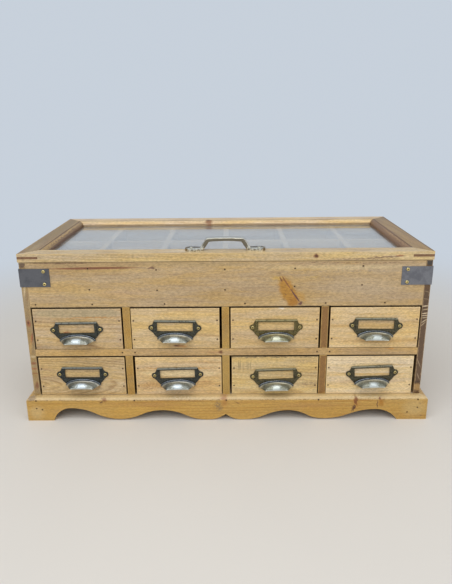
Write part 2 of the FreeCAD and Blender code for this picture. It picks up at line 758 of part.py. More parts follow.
def lid_rail(name, length, points):
    """A rail of the lid with its outer face along -Y: flat band, quarter-round moulding, glass rebate
    and mitred ends, slotted for the corner keys and the glazing points."""
    body = doc.addObject("PartDesign::Body", name)
    profile = add_sketch(body, "YZ_Plane", name + "_profile")
    outline(profile, [
        ("0", "0"),
        ("rebate_wall", "0"),
        ("rebate_wall", "rebate_height"),
        ("rail_width", "rebate_height"),
        ("rail_width", "moulding_foot"),
        ("rail_width - sight_lip", "moulding_foot"),
        ("rail_flat", "moulding_top", bow("rail_moulding", "moulding_top - moulding_foot", quarter_bow), 1),
        ("rail_flat", "lid_thickness"),
        ("0", "lid_thickness"),
    ])
    pad(body, profile, length, both_ways=True)
    for side in (-1, 1):
        word = "right" if side > 0 else "left"
        end = f"{side} * {length} / 2"
        corner = add_sketch(body, "XY_Plane", f"{name}_mitre_{word}")
        outline(corner, [
            (end, "0"),
            (end, "rail_width"),
            (f"{side} * ({length} / 2 - rail_width)", "rail_width"),
        ])
        pocket(body, corner)
        slot = add_sketch(body, "XY_Plane", f"{name}_key_slot_{word}", "key_foot")
        outline(slot, [(end, "0"), (end, "key_leg"), (f"{side} * ({length} / 2 - key_leg)", "0")])
        pocket(body, slot, "key_thickness", backwards=True)
    slots = add_sketch(body, "XY_Plane", name + "_point_slots", "glass_foot - point_thickness")
    for left in glazing_spots(length, points):
        outline(slots, [
            (left, "rebate_wall - point_reach"),
            (f"{left} + point_width", "rebate_wall - point_reach"),
            (f"{left} + point_width", "rebate_wall"),
            (left, "rebate_wall"),
        ])
    pocket(body, slots, "point_thickness", backwards=True)
    return body


long_points, short_points = 3, 2
lid_front_y = "front_y - lid_overhang"
lid_middle_y = "back_y - lid_depth / 2"
front_rail = place(lid_rail("front_rail", "lid_width", long_points), "0", lid_front_y, "lid_foot")
back_rail = lid_rail("back_rail", "lid_width", long_points)
back_rail.Placement = Placement(Vector(), Rotation(Vector(0, 0, 1), 180))
place(back_rail, "0", "back_y", "lid_foot")
side_rails = []
for name, side in (("left_rail", -1), ("right_rail", 1)):
    rail = lid_rail(name, "lid_depth", short_points)
    rail.Placement = Placement(Vector(), Rotation(Vector(0, 0, 1), 90 * side))
    side_rails.append(place(rail, f"{side} * lid_width / 2", lid_middle_y, "lid_foot"))

handle_screw_spots = []
foot_top = "lid_top + handle_foot_thickness"
for side in (-1, 1):
    x = f"handle_across + {side} * handle_screw_across"
    handle_screw_spots.append(((x, "front_y + handle_setback", foot_top), (0, 0, -1)))
nodes.append(cut("lid_front_rail", front_rail, screw_holes("lid_front_rail", handle_screw_spots)))
nodes.append(cut("lid_back_rail", back_rail, screw_holes("lid_back_rail", lid_hinge_spots)))
nodes.append(group("lid_side_rails", side_rails))


def corner_keys():
    """A thin three-cornered key let into each mitre of the lid."""
    keys = []
    for x_side in (-1, 1):
        for y_side, y in ((1, lid_front_y), (-1, "back_y")):
            key = doc.addObject("PartDesign::Body", f"corner_key_{x_side + 1}_{y_side + 1}")
            shape = add_sketch(key, "XY_Plane", key.Name + "_outline")
            outline(shape, [("0", "0"), (f"{-x_side} * key_leg", "0"), ("0", f"{y_side} * key_leg")])
            pad(key, shape, "key_thickness")
            keys.append(place(key, f"{x_side} * lid_width / 2", y, "lid_foot + key_foot"))
    return group("lid_corner_keys", keys)


nodes.append(corner_keys())

pane_inset = "(rebate_wall + glass_play)"
pane_corner = (f"-lid_width / 2 + {pane_inset}", f"{lid_front_y} + {pane_inset}", "lid_foot + glass_foot")
pane_size = (f"lid_width - 2 * {pane_inset}", f"lid_depth - 2 * {pane_inset}", "glass_thickness")
nodes.append(box("lid_glass", pane_corner, pane_size))


def glazing_points():
    """Small flat plates, half in the rails and half under the edge of the glass."""
    points = []
    reach = "2 * point_reach"
    low = "lid_foot + glass_foot - point_thickness"
    for left in glazing_spots("lid_width", long_points):
        for y in (f"{lid_front_y} + rebate_wall - point_reach", "back_y - rebate_wall - point_reach"):
            points.append(box("glazing_point", (left, y, low), ("point_width", reach, "point_thickness")))
    for front in glazing_spots("lid_depth", short_points):
        for x in ("-lid_width / 2 + rebate_wall - point_reach", "lid_width / 2 - rebate_wall - point_reach"):
            points.append(box("glazing_point", (x, f"{lid_middle_y} + {front}", low),
                              (reach, "point_width", "point_thickness")))
    return group("glazing_points", points)


nodes.append(glazing_points())


def bar_handle():
    """A flat bar, arched a little and bent down to two rounded feet."""
    body = doc.addObject("PartDesign::Body", "handle_casting")
    side_view = add_sketch(body, "XZ_Plane", "handle_side_view")
    inner_rise = "(handle_rise - handle_bar_thickness - handle_arch)"
    top_rise = "(handle_rise - handle_crown)"
    lean = "(handle_span - handle_top_span) / 2"
    inner_foot = "(handle_span / 2 - handle_leg_thickness)"
    inner_top = f"({inner_foot} - {lean} * {inner_rise} / {top_rise})"
    outer_top = "handle_top_span / 2"
    crown_radius = f"({outer_top} * {outer_top} + handle_crown * handle_crown) / (2 * handle_crown)"
    arch_radius = f"({inner_top} * {inner_top} + handle_arch * handle_arch) / (2 * handle_arch)"
    outline(side_view, [
        ("-handle_span / 2", "0"),
        (f"-{inner_foot}", "0"),
        (f"-{inner_top}", inner_rise),
        (inner_top, inner_rise, arch_radius, -1),
        (inner_foot, "0"),
        ("handle_span / 2", "0"),
        (outer_top, top_rise),
        (f"-{outer_top}", top_rise, crown_radius, 1),
    ])
    pad(body, side_view, "handle_bar_width", both_ways=True)
    half = value("handle_bar_width") / 2
    bend = value(top_rise)

    def outer_bend(edge):
        span = edge.BoundBox
        return near(span.YMin, -half) and near(span.YMax, half) and near(span.ZMin, bend)
    round_edges(body, "handle_bend", outer_bend)

    def long_edge(edge):
        span = edge.BoundBox
        return near(span.YLength, 0) and not near(span.ZMax, 0)
    round_edges(body, "handle_edge_round", long_edge)
    feet = add_sketch(body, "XY_Plane", "handle_feet")
    end = "handle_foot_width / 2"
    neck = "handle_foot_neck / 2"
    for side in (-1, 1):
        inner = f"{side} * {inner_foot}"
        outer = f"{side} * (handle_span / 2 + handle_foot_length - {end})"
        outline(feet, [
            (inner, f"-{neck}"),
            (outer, f"-{end}"),
            (f"{outer} + {side} * {end}", "0", end, side),
            (outer, end, end, side),
            (inner, neck),
        ])
    pad(body, feet, "handle_foot_thickness")
    place(body, "handle_across", "front_y + handle_setback", "lid_top")
    return cut("lid_handle", body, screw_holes("lid_handle", handle_screw_spots))


nodes.append(bar_handle())
nodes.append(group("lid_screws", screws("lid", handle_screw_spots + lid_hinge_spots)))


# Hinges: two butt hinges on the back, five knuckles each

def leaf(name, side, on_case):
    """One leaf with its own knuckles, bored for the pin and drilled for the screws."""
    middle = f"{side} * hinge_spacing / 2"
    knuckle = "hinge_length / 5"
    if on_case:
        low, height, turns = f"{case_leaf_top} - case_leaf_height", "case_leaf_height", (0, 2, 4)
        neck_low, neck_height = case_leaf_top, "knuckle_radius"
    else:
        low, height, turns = "hinge_axis_z + knuckle_radius + knuckle_gap", "lid_leaf_height", (1, 3)
        neck_low, neck_height = "hinge_axis_z + knuckle_gap", "knuckle_radius"
    plate = box(name + "_plate", (f"{middle} - hinge_length / 2", "back_y", low),
                ("hinge_length", "leaf_thickness", height))
    members = [plate]
    for turn in turns:
        start = f"{middle} - hinge_length / 2 + {knuckle} * {turn} + knuckle_gap / 2"
        length = f"{knuckle} - knuckle_gap"
        members.append(box(f"{name}_neck_{turn}", (start, "back_y", neck_low),
                           (length, "leaf_thickness", neck_height)))
        members.append(rod(f"{name}_knuckle_{turn}", "knuckle_radius", length,
                           (start, "hinge_axis_y", "hinge_axis_z"), (1, 0, 0)))
    past_end = 1                    # so the bore is open at both ends
    bore = rod(name + "_bore", "pin_radius + pin_clearance", f"hinge_length + 2 * {past_end}",
               (f"{middle} - hinge_length / 2 - {past_end}", "hinge_axis_y", "hinge_axis_z"), (1, 0, 0))
    spots = case_hinge_spots if on_case else lid_hinge_spots
    own = [spot for spot in spots if spot[0][0].startswith(str(side))]
    return cut(name, fuse(name + "_solid", members), [bore] + screw_holes(name, own))


nodes.append(group("hinge_case_leaves", [leaf(f"case_leaf_{side + 1}", side, True) for side in hinge_sides]))
nodes.append(group("hinge_lid_leaves", [leaf(f"lid_leaf_{side + 1}", side, False) for side in hinge_sides]))
pins = [rod(f"hinge_pin_{side + 1}", "pin_radius", "hinge_length",
            (f"{side} * hinge_spacing / 2 - hinge_length / 2", "hinge_axis_y", "hinge_axis_z"), (1, 0, 0))
        for side in hinge_sides]
nodes.append(group("hinge_pins", pins))


# Drawers

def label_pull(name):
    """A pressed plate with two ears, raised bars round a label window and a finger cup under it. The
    middle of its screw line is at the origin and it looks along -Y."""
    body = doc.addObject("PartDesign::Body", name)
    plate = add_sketch(body, "XZ_Plane", name + "_plate")
    cup_side = "cup_width / 2"
    shoulder = "(pull_frame_half + pull_shoulder)"
    haunch = "(pull_frame_half + pull_haunch)"
    neck = bow(f"pull_ear_end - {shoulder}", "pull_shoulder_up - pull_ear_end_up", neck_bow)
    armpit = bow(f"pull_ear_end - {haunch}", "pull_haunch_down - pull_ear_end_up", armpit_bow)
    outline(plate, [
        ("-pull_frame_half", "pull_frame_top"),
        (f"-{shoulder}", "pull_shoulder_up"),
        ("-pull_ear_end", "pull_ear_end_up", neck, -1),
        ("-pull_ear_end", "-pull_ear_end_up", "pull_ear_radius", 1),
        (f"-{haunch}", "-pull_haunch_down", armpit, -1),
        (f"-{cup_side}", "cup_lip + cup_corner - cup_drop"),
        (f"cup_corner - {cup_side}", "cup_lip - cup_drop"),
        (f"{cup_side} - cup_corner", "cup_lip - cup_drop"),
        (cup_side, "cup_lip + cup_corner - cup_drop"),
        (haunch, "-pull_haunch_down"),
        ("pull_ear_end", "-pull_ear_end_up", armpit, -1),
        ("pull_ear_end", "pull_ear_end_up", "pull_ear_radius", 1),
        (shoulder, "pull_shoulder_up", neck, -1),
        ("pull_frame_half", "pull_frame_top"),
    ])
    pad(body, plate, "pull_plate_thickness")
    frame = add_sketch(body, "XZ_Plane", name + "_frame")
    outline(frame, [
        ("-pull_frame_half", "pull_frame_top"),
        ("-pull_frame_half", "pull_frame_foot"),
        ("pull_frame_half", "pull_frame_foot"),
        ("pull_frame_half", "pull_frame_top"),
    ])
    pad(body, frame, "pull_plate_thickness + pull_bar_proud")
    window = add_sketch(body, "XZ_Plane", name + "_window")
    outline(window, [
        ("-pull_window_width / 2", "pull_window_top"),
        ("-pull_window_width / 2", "pull_window_foot"),
        ("pull_window_width / 2", "pull_window_foot"),
        ("pull_window_width / 2", "pull_window_top"),
    ])
    pocket(body, window)
    for word, wall in (("Additive", "0"), ("Subtractive", "cup_wall")):
        cup = body.newObject(f"PartDesign::{word}Ellipsoid", f"{name}_cup_{word.lower()}")
        radii = [f"{size} - {wall}" for size in ("cup_height", "cup_width / 2", "cup_projection")]
        bind(cup, Radius1=radii[0], Radius2=radii[1], Radius3=radii[2])
        cup.Angle1, cup.Angle2, cup.Angle3 = 0, 90, 180
        cup.Placement = Placement(Vector(), Rotation(Vector(0, 0, 1), 180))
        place(cup, "0", "-pull_plate_thickness", "-cup_drop")
    holes = add_sketch(body, "XZ_Plane", name + "_screw_holes")
    centres = [("-pull_screw_across", "0"), ("pull_screw_across", "0")]
    circles(holes, centres, "screw_shank_radius + pilot_clearance")
    pocket(body, holes)
    return body


def drawer(number):
    """A drawer as four nodes: front, box, pull and the screws and nails that hold them."""
    name = f"drawer_{number}"
    column = (number - 1) % drawer_columns
    upper = number <= drawer_columns
    foot = "upper_foot + drawer_foot_gap" if upper else "plinth_height + drawer_foot_gap"
    opening = "upper_opening_height" if upper else "lower_opening_height"
    height = f"({opening} - drawer_top_gap - drawer_foot_gap)"
    middle = f"(opening_pitch * {column - (drawer_columns - 1) / 2} + drawer_side_gap * drawer_{number}_play)"
    left = f"{middle} - drawer_width / 2"
    right = f"{middle} + drawer_width / 2"
    wall_height = f"({height} - drawer_wall_drop)"
    bottom_foot = f"{foot} + drawer_bottom_rise"
    bottom_top = f"{bottom_foot} + drawer_bottom_thickness"
    inner_left = f"{left} + drawer_wall"
    inner_right = f"{right} - drawer_wall"
    panel_width = "(drawer_width - 2 * drawer_wall + 2 * drawer_groove)"

    pull_x = f"{middle} + drawer_{number}_across"
    pull_z = f"{foot} + {height} / 2 + drawer_{number}_up"
    pull = label_pull(name + "_pull")
    pull.setExpression("Placement.Rotation.Pitch", f"-Dimensions.drawer_{number}_tilt")
    place(pull, pull_x, "drawer_face_y", pull_z)
    screw_spots = []
    for side in (-1, 1):
        reach = f"{side} * pull_screw_across"
        x = f"{pull_x} + {reach} * cos(drawer_{number}_tilt)"
        z = f"{pull_z} + {reach} * sin(drawer_{number}_tilt)"
        screw_spots.append(((x, "drawer_face_y - pull_plate_thickness", z), (0, 1, 0)))

    nail_places = []
    for x in (f"{left} + drawer_wall / 2", f"{right} - drawer_wall / 2"):
        for share in drawer_nail_shares:
            nail_places.append((x, "drawer_face_y", f"{foot} + {height} * {share}"))

    front = doc.addObject("PartDesign::Body", name + "_front_board")
    board = front.newObject("PartDesign::AdditiveBox", name + "_front_block")
    bind(board, Length="drawer_width", Width="drawer_front_thickness", Height=height)
    round_edges(front, "drawer_front_round", lambda edge: near(edge.BoundBox.YMax, 0))
    place(front, left, "drawer_face_y", foot)
    panel_y = "drawer_box_y - drawer_groove"
    panel_length = "drawer_box_length + drawer_groove"
    panel_left = f"{inner_left} - drawer_groove"
    panel = box(name + "_panel", (panel_left, panel_y, bottom_foot),
                (panel_width, panel_length, "drawer_bottom_thickness"))
    front_holes = screw_holes(name + "_front", screw_spots) + nail_holes(name + "_front", nail_places)
    front_piece = cut(name + "_front", front, [panel] + front_holes)

    walls = []
    for word, x, own_nails in (("left", left, nail_places[:2]), ("right", inner_right, nail_places[2:])):
        plank = box(f"{name}_{word}_plank", (x, "drawer_box_y", foot),
                    ("drawer_wall", "drawer_box_length", wall_height))
        walls.append(cut(f"{name}_{word}_wall", plank, [panel] + nail_holes(f"{name}_{word}", own_nails)))
    back_y = "drawer_box_y + drawer_box_length - drawer_wall"
    back_height = f"{foot} + {wall_height} - ({bottom_top})"
    back = box(name + "_back_wall", (inner_left, back_y, bottom_top),
               ("drawer_width - 2 * drawer_wall", "drawer_wall", back_height))
    fixings = screws(name, screw_spots) + nails(name, nail_places)
    return [front_piece, group(name + "_box", walls + [back, panel]), pull, group(name + "_fixings", fixings)]


for number in fitting:
    nodes += drawer(number)

# Check every object, then write each sub-part to its own file

doc.recompute()
for item in doc.Objects:
    for trouble in ("Invalid", "Error"):
        if trouble in item.State:
            raise RuntimeError(f"{item.Label} failed: {item.State}")
os.makedirs("parts", exist_ok=True)
for node in nodes:
    shape = node.Shape
    if shape.isNull() or not shape.isValid():
        raise RuntimeError(f"{node.Label} has no valid shape")
    if shape.Volume <= 0:
        raise RuntimeError(f"{node.Label} has no volume")
for node in nodes:
    node.Shape.exportStep(f"parts/{node.Label}.step")
    span = node.Shape.BoundBox
    print(f"{node.Label}: {len(node.Shape.Solids)} solids, {node.Shape.Volume / 1000:.1f} cm3, "
          f"x {span.XMin:.1f} to {span.XMax:.1f}, y {span.YMin:.1f} to {span.YMax:.1f}, "
          f"z {span.ZMin:.1f} to {span.ZMax:.1f}")
print(f"{len(nodes)} sub-parts written")
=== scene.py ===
import json
import math
import bmesh
import bpy
from mathutils import Matrix, Vector


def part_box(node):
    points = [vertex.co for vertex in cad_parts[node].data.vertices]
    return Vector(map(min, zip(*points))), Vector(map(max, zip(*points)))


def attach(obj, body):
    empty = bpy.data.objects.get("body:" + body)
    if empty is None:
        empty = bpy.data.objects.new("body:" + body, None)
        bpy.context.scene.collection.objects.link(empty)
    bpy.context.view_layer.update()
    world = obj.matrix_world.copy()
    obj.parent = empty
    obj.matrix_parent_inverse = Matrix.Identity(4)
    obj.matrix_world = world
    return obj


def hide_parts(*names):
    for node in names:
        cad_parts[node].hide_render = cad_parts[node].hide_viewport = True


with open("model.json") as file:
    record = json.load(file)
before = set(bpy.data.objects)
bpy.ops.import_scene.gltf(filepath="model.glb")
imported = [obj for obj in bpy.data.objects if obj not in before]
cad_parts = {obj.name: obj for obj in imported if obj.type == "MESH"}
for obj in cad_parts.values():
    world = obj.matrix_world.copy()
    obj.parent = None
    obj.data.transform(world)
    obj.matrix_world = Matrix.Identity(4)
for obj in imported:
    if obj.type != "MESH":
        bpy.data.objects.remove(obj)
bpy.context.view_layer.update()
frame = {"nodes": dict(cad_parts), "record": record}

# A tabletop apothecary cabinet in waxed pine: eight drawers with label pulls under a glazed lid.
# Metres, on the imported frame.

bodyOf = {}
for bodyName, members in frame["record"]["behaviour"]["bodies"].items():
    for member in members:
        bodyOf[member] = bodyName
mm = 0.001


# Working on meshes

def pickOnly(piece):
    bpy.ops.object.select_all(action="DESELECT")
    piece.select_set(True)
    bpy.context.view_layer.objects.active = piece


def editing(piece):
    pickOnly(piece)
    bpy.ops.object.mode_set(mode="EDIT")
    bpy.ops.mesh.select_all(action="DESELECT")
    return bmesh.from_edit_mesh(piece.data)


def doneEditing():
    bpy.ops.object.mode_set(mode="OBJECT")


def place(name, mesh):
    piece = bpy.data.objects.new(name, mesh)
    bpy.context.scene.collection.objects.link(piece)
    return piece


def nodeCopy(node, name):
    # a node's own shape with its loose triangles joined and its flat faces made whole
    piece = place(name, frame["nodes"][node].data.copy())
    pickOnly(piece)
    bpy.ops.mesh.customdata_custom_splitnormals_clear()
    editing(piece)
    bpy.ops.mesh.select_all(action="SELECT")
    bpy.ops.mesh.remove_doubles(threshold=0.002 * mm)
    bpy.ops.mesh.dissolve_limited(angle_limit=math.radians(0.6))
    doneEditing()
    return piece


def isCorner(edge):
    return len(edge.link_faces) == 2 and edge.is_convex and edge.calc_face_angle(0) > math.radians(30)


def soften(piece, width, shortest=1.2 * mm, steps=2, wholeOnly=False):
    # take the sharpness off the long outer corners, and leave drilled holes as they are; with wholeOnly
    # also leave those corners where a groove or a notch runs out
    shape = editing(piece)
    bpy.ops.mesh.select_mode(type="EDGE")
    for edge in shape.edges:
        whole = all(isCorner(other) for vertex in edge.verts for other in vertex.link_edges)
        if isCorner(edge) and edge.calc_length() > shortest and (whole or not wholeOnly):
            edge.select_set(True)
    bmesh.update_edit_mesh(piece.data)
    bpy.ops.mesh.bevel(offset=width, segments=steps, clamp_overlap=True)
    doneEditing()


def reshape(piece, kind, **settings):
    # a modifier, applied at once
    pickOnly(piece)
    bpy.ops.object.modifier_add(type=kind)
    modifier = piece.modifiers[-1]
    for name, value in settings.items():
        setattr(modifier, name, value)
    bpy.ops.object.modifier_apply(modifier=modifier.name)


def smooth(piece, angle=35):
    # smooth curved faces, and keep flat ones flat up to their softened corners
    pickOnly(piece)
    bpy.ops.object.shade_smooth_by_angle(angle=math.radians(angle))
    reshape(piece, "WEIGHTED_NORMAL", keep_sharp=True)


def lowCorner(piece):
    return tuple(round(part, 5) for part in limits(piece)[0])


def loosePieces(piece):
    editing(piece)
    bpy.ops.mesh.select_all(action="SELECT")
    bpy.ops.mesh.separate(type="LOOSE")
    doneEditing()
    return sorted(bpy.context.selected_objects, key=lowCorner)


def joined(pieces, name):
    bpy.ops.object.select_all(action="DESELECT")
    for piece in pieces:
        piece.select_set(True)
    bpy.context.view_layer.objects.active = pieces[0]
    if len(pieces) > 1:
        bpy.ops.object.join()
    pieces[0].name = name
    pieces[0].data.name = name
    return pieces[0]


def limits(piece):
    corners = [vertex.co for vertex in piece.data.vertices]
    low = Vector(min(co[axis] for co in corners) for axis in range(3))
    high = Vector(max(co[axis] for co in corners) for axis in range(3))
    return low, high


def carry(piece, name, kind, values):
    # keep a number or a vector on every point of a mesh, for its finish to read
    layer = piece.data.attributes.new(name, kind, "POINT")
    if kind == "FLOAT":
        layer.data.foreach_set("value", values)
    else:
        layer.data.foreach_set("vector", [part for value in values for part in value])


def dress(piece, finish, nodes, body=None):
    # give a piece its finish, and let it stand for its nodes
    piece.data.materials.clear()
    piece.data.materials.append(finish)
    for face in piece.data.polygons:
        face.material_index = 0
    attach(piece, body or bodyOf[nodes[0]])
    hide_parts(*nodes)
    return piece


# Finishes

def tinted(colour, by):
    return tuple(part * tint for part, tint in zip(colour, by))


def feed(tree, socket, value):
    if isinstance(value, Wire):
        tree.links.new(value.socket, socket)
    elif socket.type == "RGBA" and len(value) == 3:
        socket.default_value = (*value, 1)
    else:
        socket.default_value = value


class Wire:
    # a node's output, with arithmetic that adds Math nodes
    def __init__(self, tree, socket):
        self.tree = tree
        self.socket = socket

    def math(self, operation, *others, first=None, clamp=False):
        node = self.tree.nodes.new("ShaderNodeMath")
        node.operation = operation
        node.use_clamp = clamp
        values = (self, *others) if first is None else (first, self)
        for socket, value in zip(node.inputs, values):
            feed(self.tree, socket, value)
        return Wire(self.tree, node.outputs[0])

    def __add__(self, other):
        return self.math("ADD", other)

    def __sub__(self, other):
        return self.math("SUBTRACT", other)

    def __rsub__(self, other):
        return self.math("SUBTRACT", first=other)

    def __mul__(self, other):
        return self.math("MULTIPLY", other)

    def __truediv__(self, other):
        return self.math("DIVIDE", other)

    def __pow__(self, other):
        return self.math("POWER", other)

    __radd__ = __add__
    __rmul__ = __mul__


class Finish:
    # a material being mixed
    def __init__(self, name):
        self.material = bpy.data.materials.new(name)
        self.material.use_nodes = True
        self.tree = self.material.node_tree
        self.tree.nodes.clear()
        self.surface = self.add("BsdfPrincipled", {}, {})
        self.output = self.tree.nodes.new("ShaderNodeOutputMaterial")
        feed(self.tree, self.output.inputs["Surface"], self.surface)

    def add(self, kind, settings, inputs, out=0):
        node = self.tree.nodes.new("ShaderNode" + kind)
        for name, value in settings.items():
            setattr(node, name, value)
        for name, value in inputs.items():
            feed(self.tree, node.inputs[name], value)
        return Wire(self.tree, node.outputs[out])

    def set(self, **inputs):
        node = self.surface.socket.node
        for name, value in inputs.items():
            feed(self.tree, node.inputs[name.replace("_", " ")], value)

    def position(self):
        return self.add("TexCoord", {}, {}, out="Object")

    def carried(self, name, out="Vector"):
        return self.add("Attribute", {"attribute_name": name}, {}, out=out)

    def stretch(self, vector, factors):
        return self.add("VectorMath", {"operation": "MULTIPLY"}, {0: vector, 1: factors})

    def sum(self, first, second):
        return self.add("VectorMath", {"operation": "ADD"}, {0: first, 1: second})

    def length(self, vector):
        return self.add("VectorMath", {"operation": "LENGTH"}, {0: vector}, out="Value")

    def scaled(self, colour, amount):
        return self.add("VectorMath", {"operation": "SCALE"}, {0: colour, "Scale": amount})

    def noise(self, vector, scale=1.0, detail=2.0, roughness=0.5, out=0):
        values = {"Vector": vector, "Scale": scale, "Detail": detail, "Roughness": roughness}
        return self.add("TexNoise", {}, values, out=out)

    def grainNoise(self, grain, sizes, detail=2.0, roughness=0.5):
        # noise that is drawn out along the board
        return self.noise(self.stretch(grain, sizes), 1, detail, roughness)

    def fade(self, value, low, high):
        # 0 below the low value, 1 above the high one, and smooth between
        values = {"Value": value, "From Min": low, "From Max": high}
        return self.add("MapRange", {"interpolation_type": "SMOOTHSTEP"}, values)

    def mix(self, amount, first, second, blend="MIX"):
        settings = {"data_type": "RGBA", "blend_type": blend, "clamp_factor": True}
        return self.add("Mix", settings, {0: amount, 6: first, 7: second}, out=2)

    def multiplied(self, colour, by):
        return self.mix(1.0, colour, by, "MULTIPLY")

    def split(self, vector):
        node = self.add("SeparateXYZ", {}, {0: vector}).socket.node
        return [Wire(self.tree, output) for output in node.outputs]

    def mark(self, where, mark):
        # a soft oval or square patch, 1 at its middle
        at = [part * mm for part in mark["at"]]
        size = [side * mm for side in mark["size"]]
        turn = (0, math.radians(mark["turn"]), 0)
        values = {"Vector": where, "Location": at, "Rotation": turn, "Scale": size}
        local = self.add("Mapping", {"vector_type": "TEXTURE"}, values)
        if mark.get("square"):
            x, y, z = [part.math("ABSOLUTE") for part in self.split(local)]
            distance = x.math("MAXIMUM", y).math("MAXIMUM", z)
        else:
            distance = self.length(local)
        return 1 - self.fade(distance, mark["core"], 1.0)

    def relief(self, height, strength, distance):
        values = {"Height": height, "Strength": strength, "Distance": distance}
        self.set(Normal=self.add("Bump", {}, values))


# Pine

pine = {
    "wood": (0.48, 0.34, 0.18),     # middle colour
    "late": (0.62, 0.50, 0.36),     # what the dark line of a growth ring does to it
    "light": (1.06, 1.06, 1.06),    # what its lighter and its duller patches do
    "second": (0.86, 0.83, 0.84),
    "ringSpacing": 3.2,             # mm
    "rings": 0.5,
    "thin": 0.35,                   # how soon in a ring its dark line begins
    "pithAcross": 20,               # mm from the board's low edge to the tree's heart
    "pithThrough": 34,
    "pithSpread": 40,               # how far the heart differs from board to board
    "slant": 0.0,                   # how far its rings lean on an end
    "tilt": 0.05,                   # how fast the heart leaves the board along its length
    "wobble": 9,
    "knotPush": 3.5,                # rings that a knot pushes aside
    "patches": 0.7,
    "warm": 0.8,                    # how much the tone swings between yellow and pink
    "yellow": (1.055, 0.985, 0.74),
    "pink": (0.965, 0.995, 1.17),
    "mottle": 1.3,
    "streaks": 0.42,
    "streak": (0.72, 0.60, 0.46),
    "fibre": 0.26,
    "flecks": 0.42,
    "fleck": (0.45, 0.36, 0.28),
    "saw": 0.0,                     # rough saw ticks, and where they are
    "sawAt": None,
    "endGrain": (0.62, 0.47, 0.34),
    "wear": 0.5,
    "worn": (1.22, 1.2, 1.15),
    "dirty": 0.45,
    "dirt": (0.42, 0.32, 0.24),
    "gloss": 0.46,
    "relief": 0.35,
    "marks": (),
    "ruffle": (9, 9, 5),            # mm by which the outlines of marks wander
    "nails": (),                    # where pins go in, so that the wood round them is stained
    "nailStain": (0.2, 0.13, 0.1),
    "front": None,                  # where its front face is; behind it the board gets painted shade in the gaps
    # the colour that the painted shade in the gaps multiplies by
    "gapShade": (0.13, 0.09, 0.065),
}


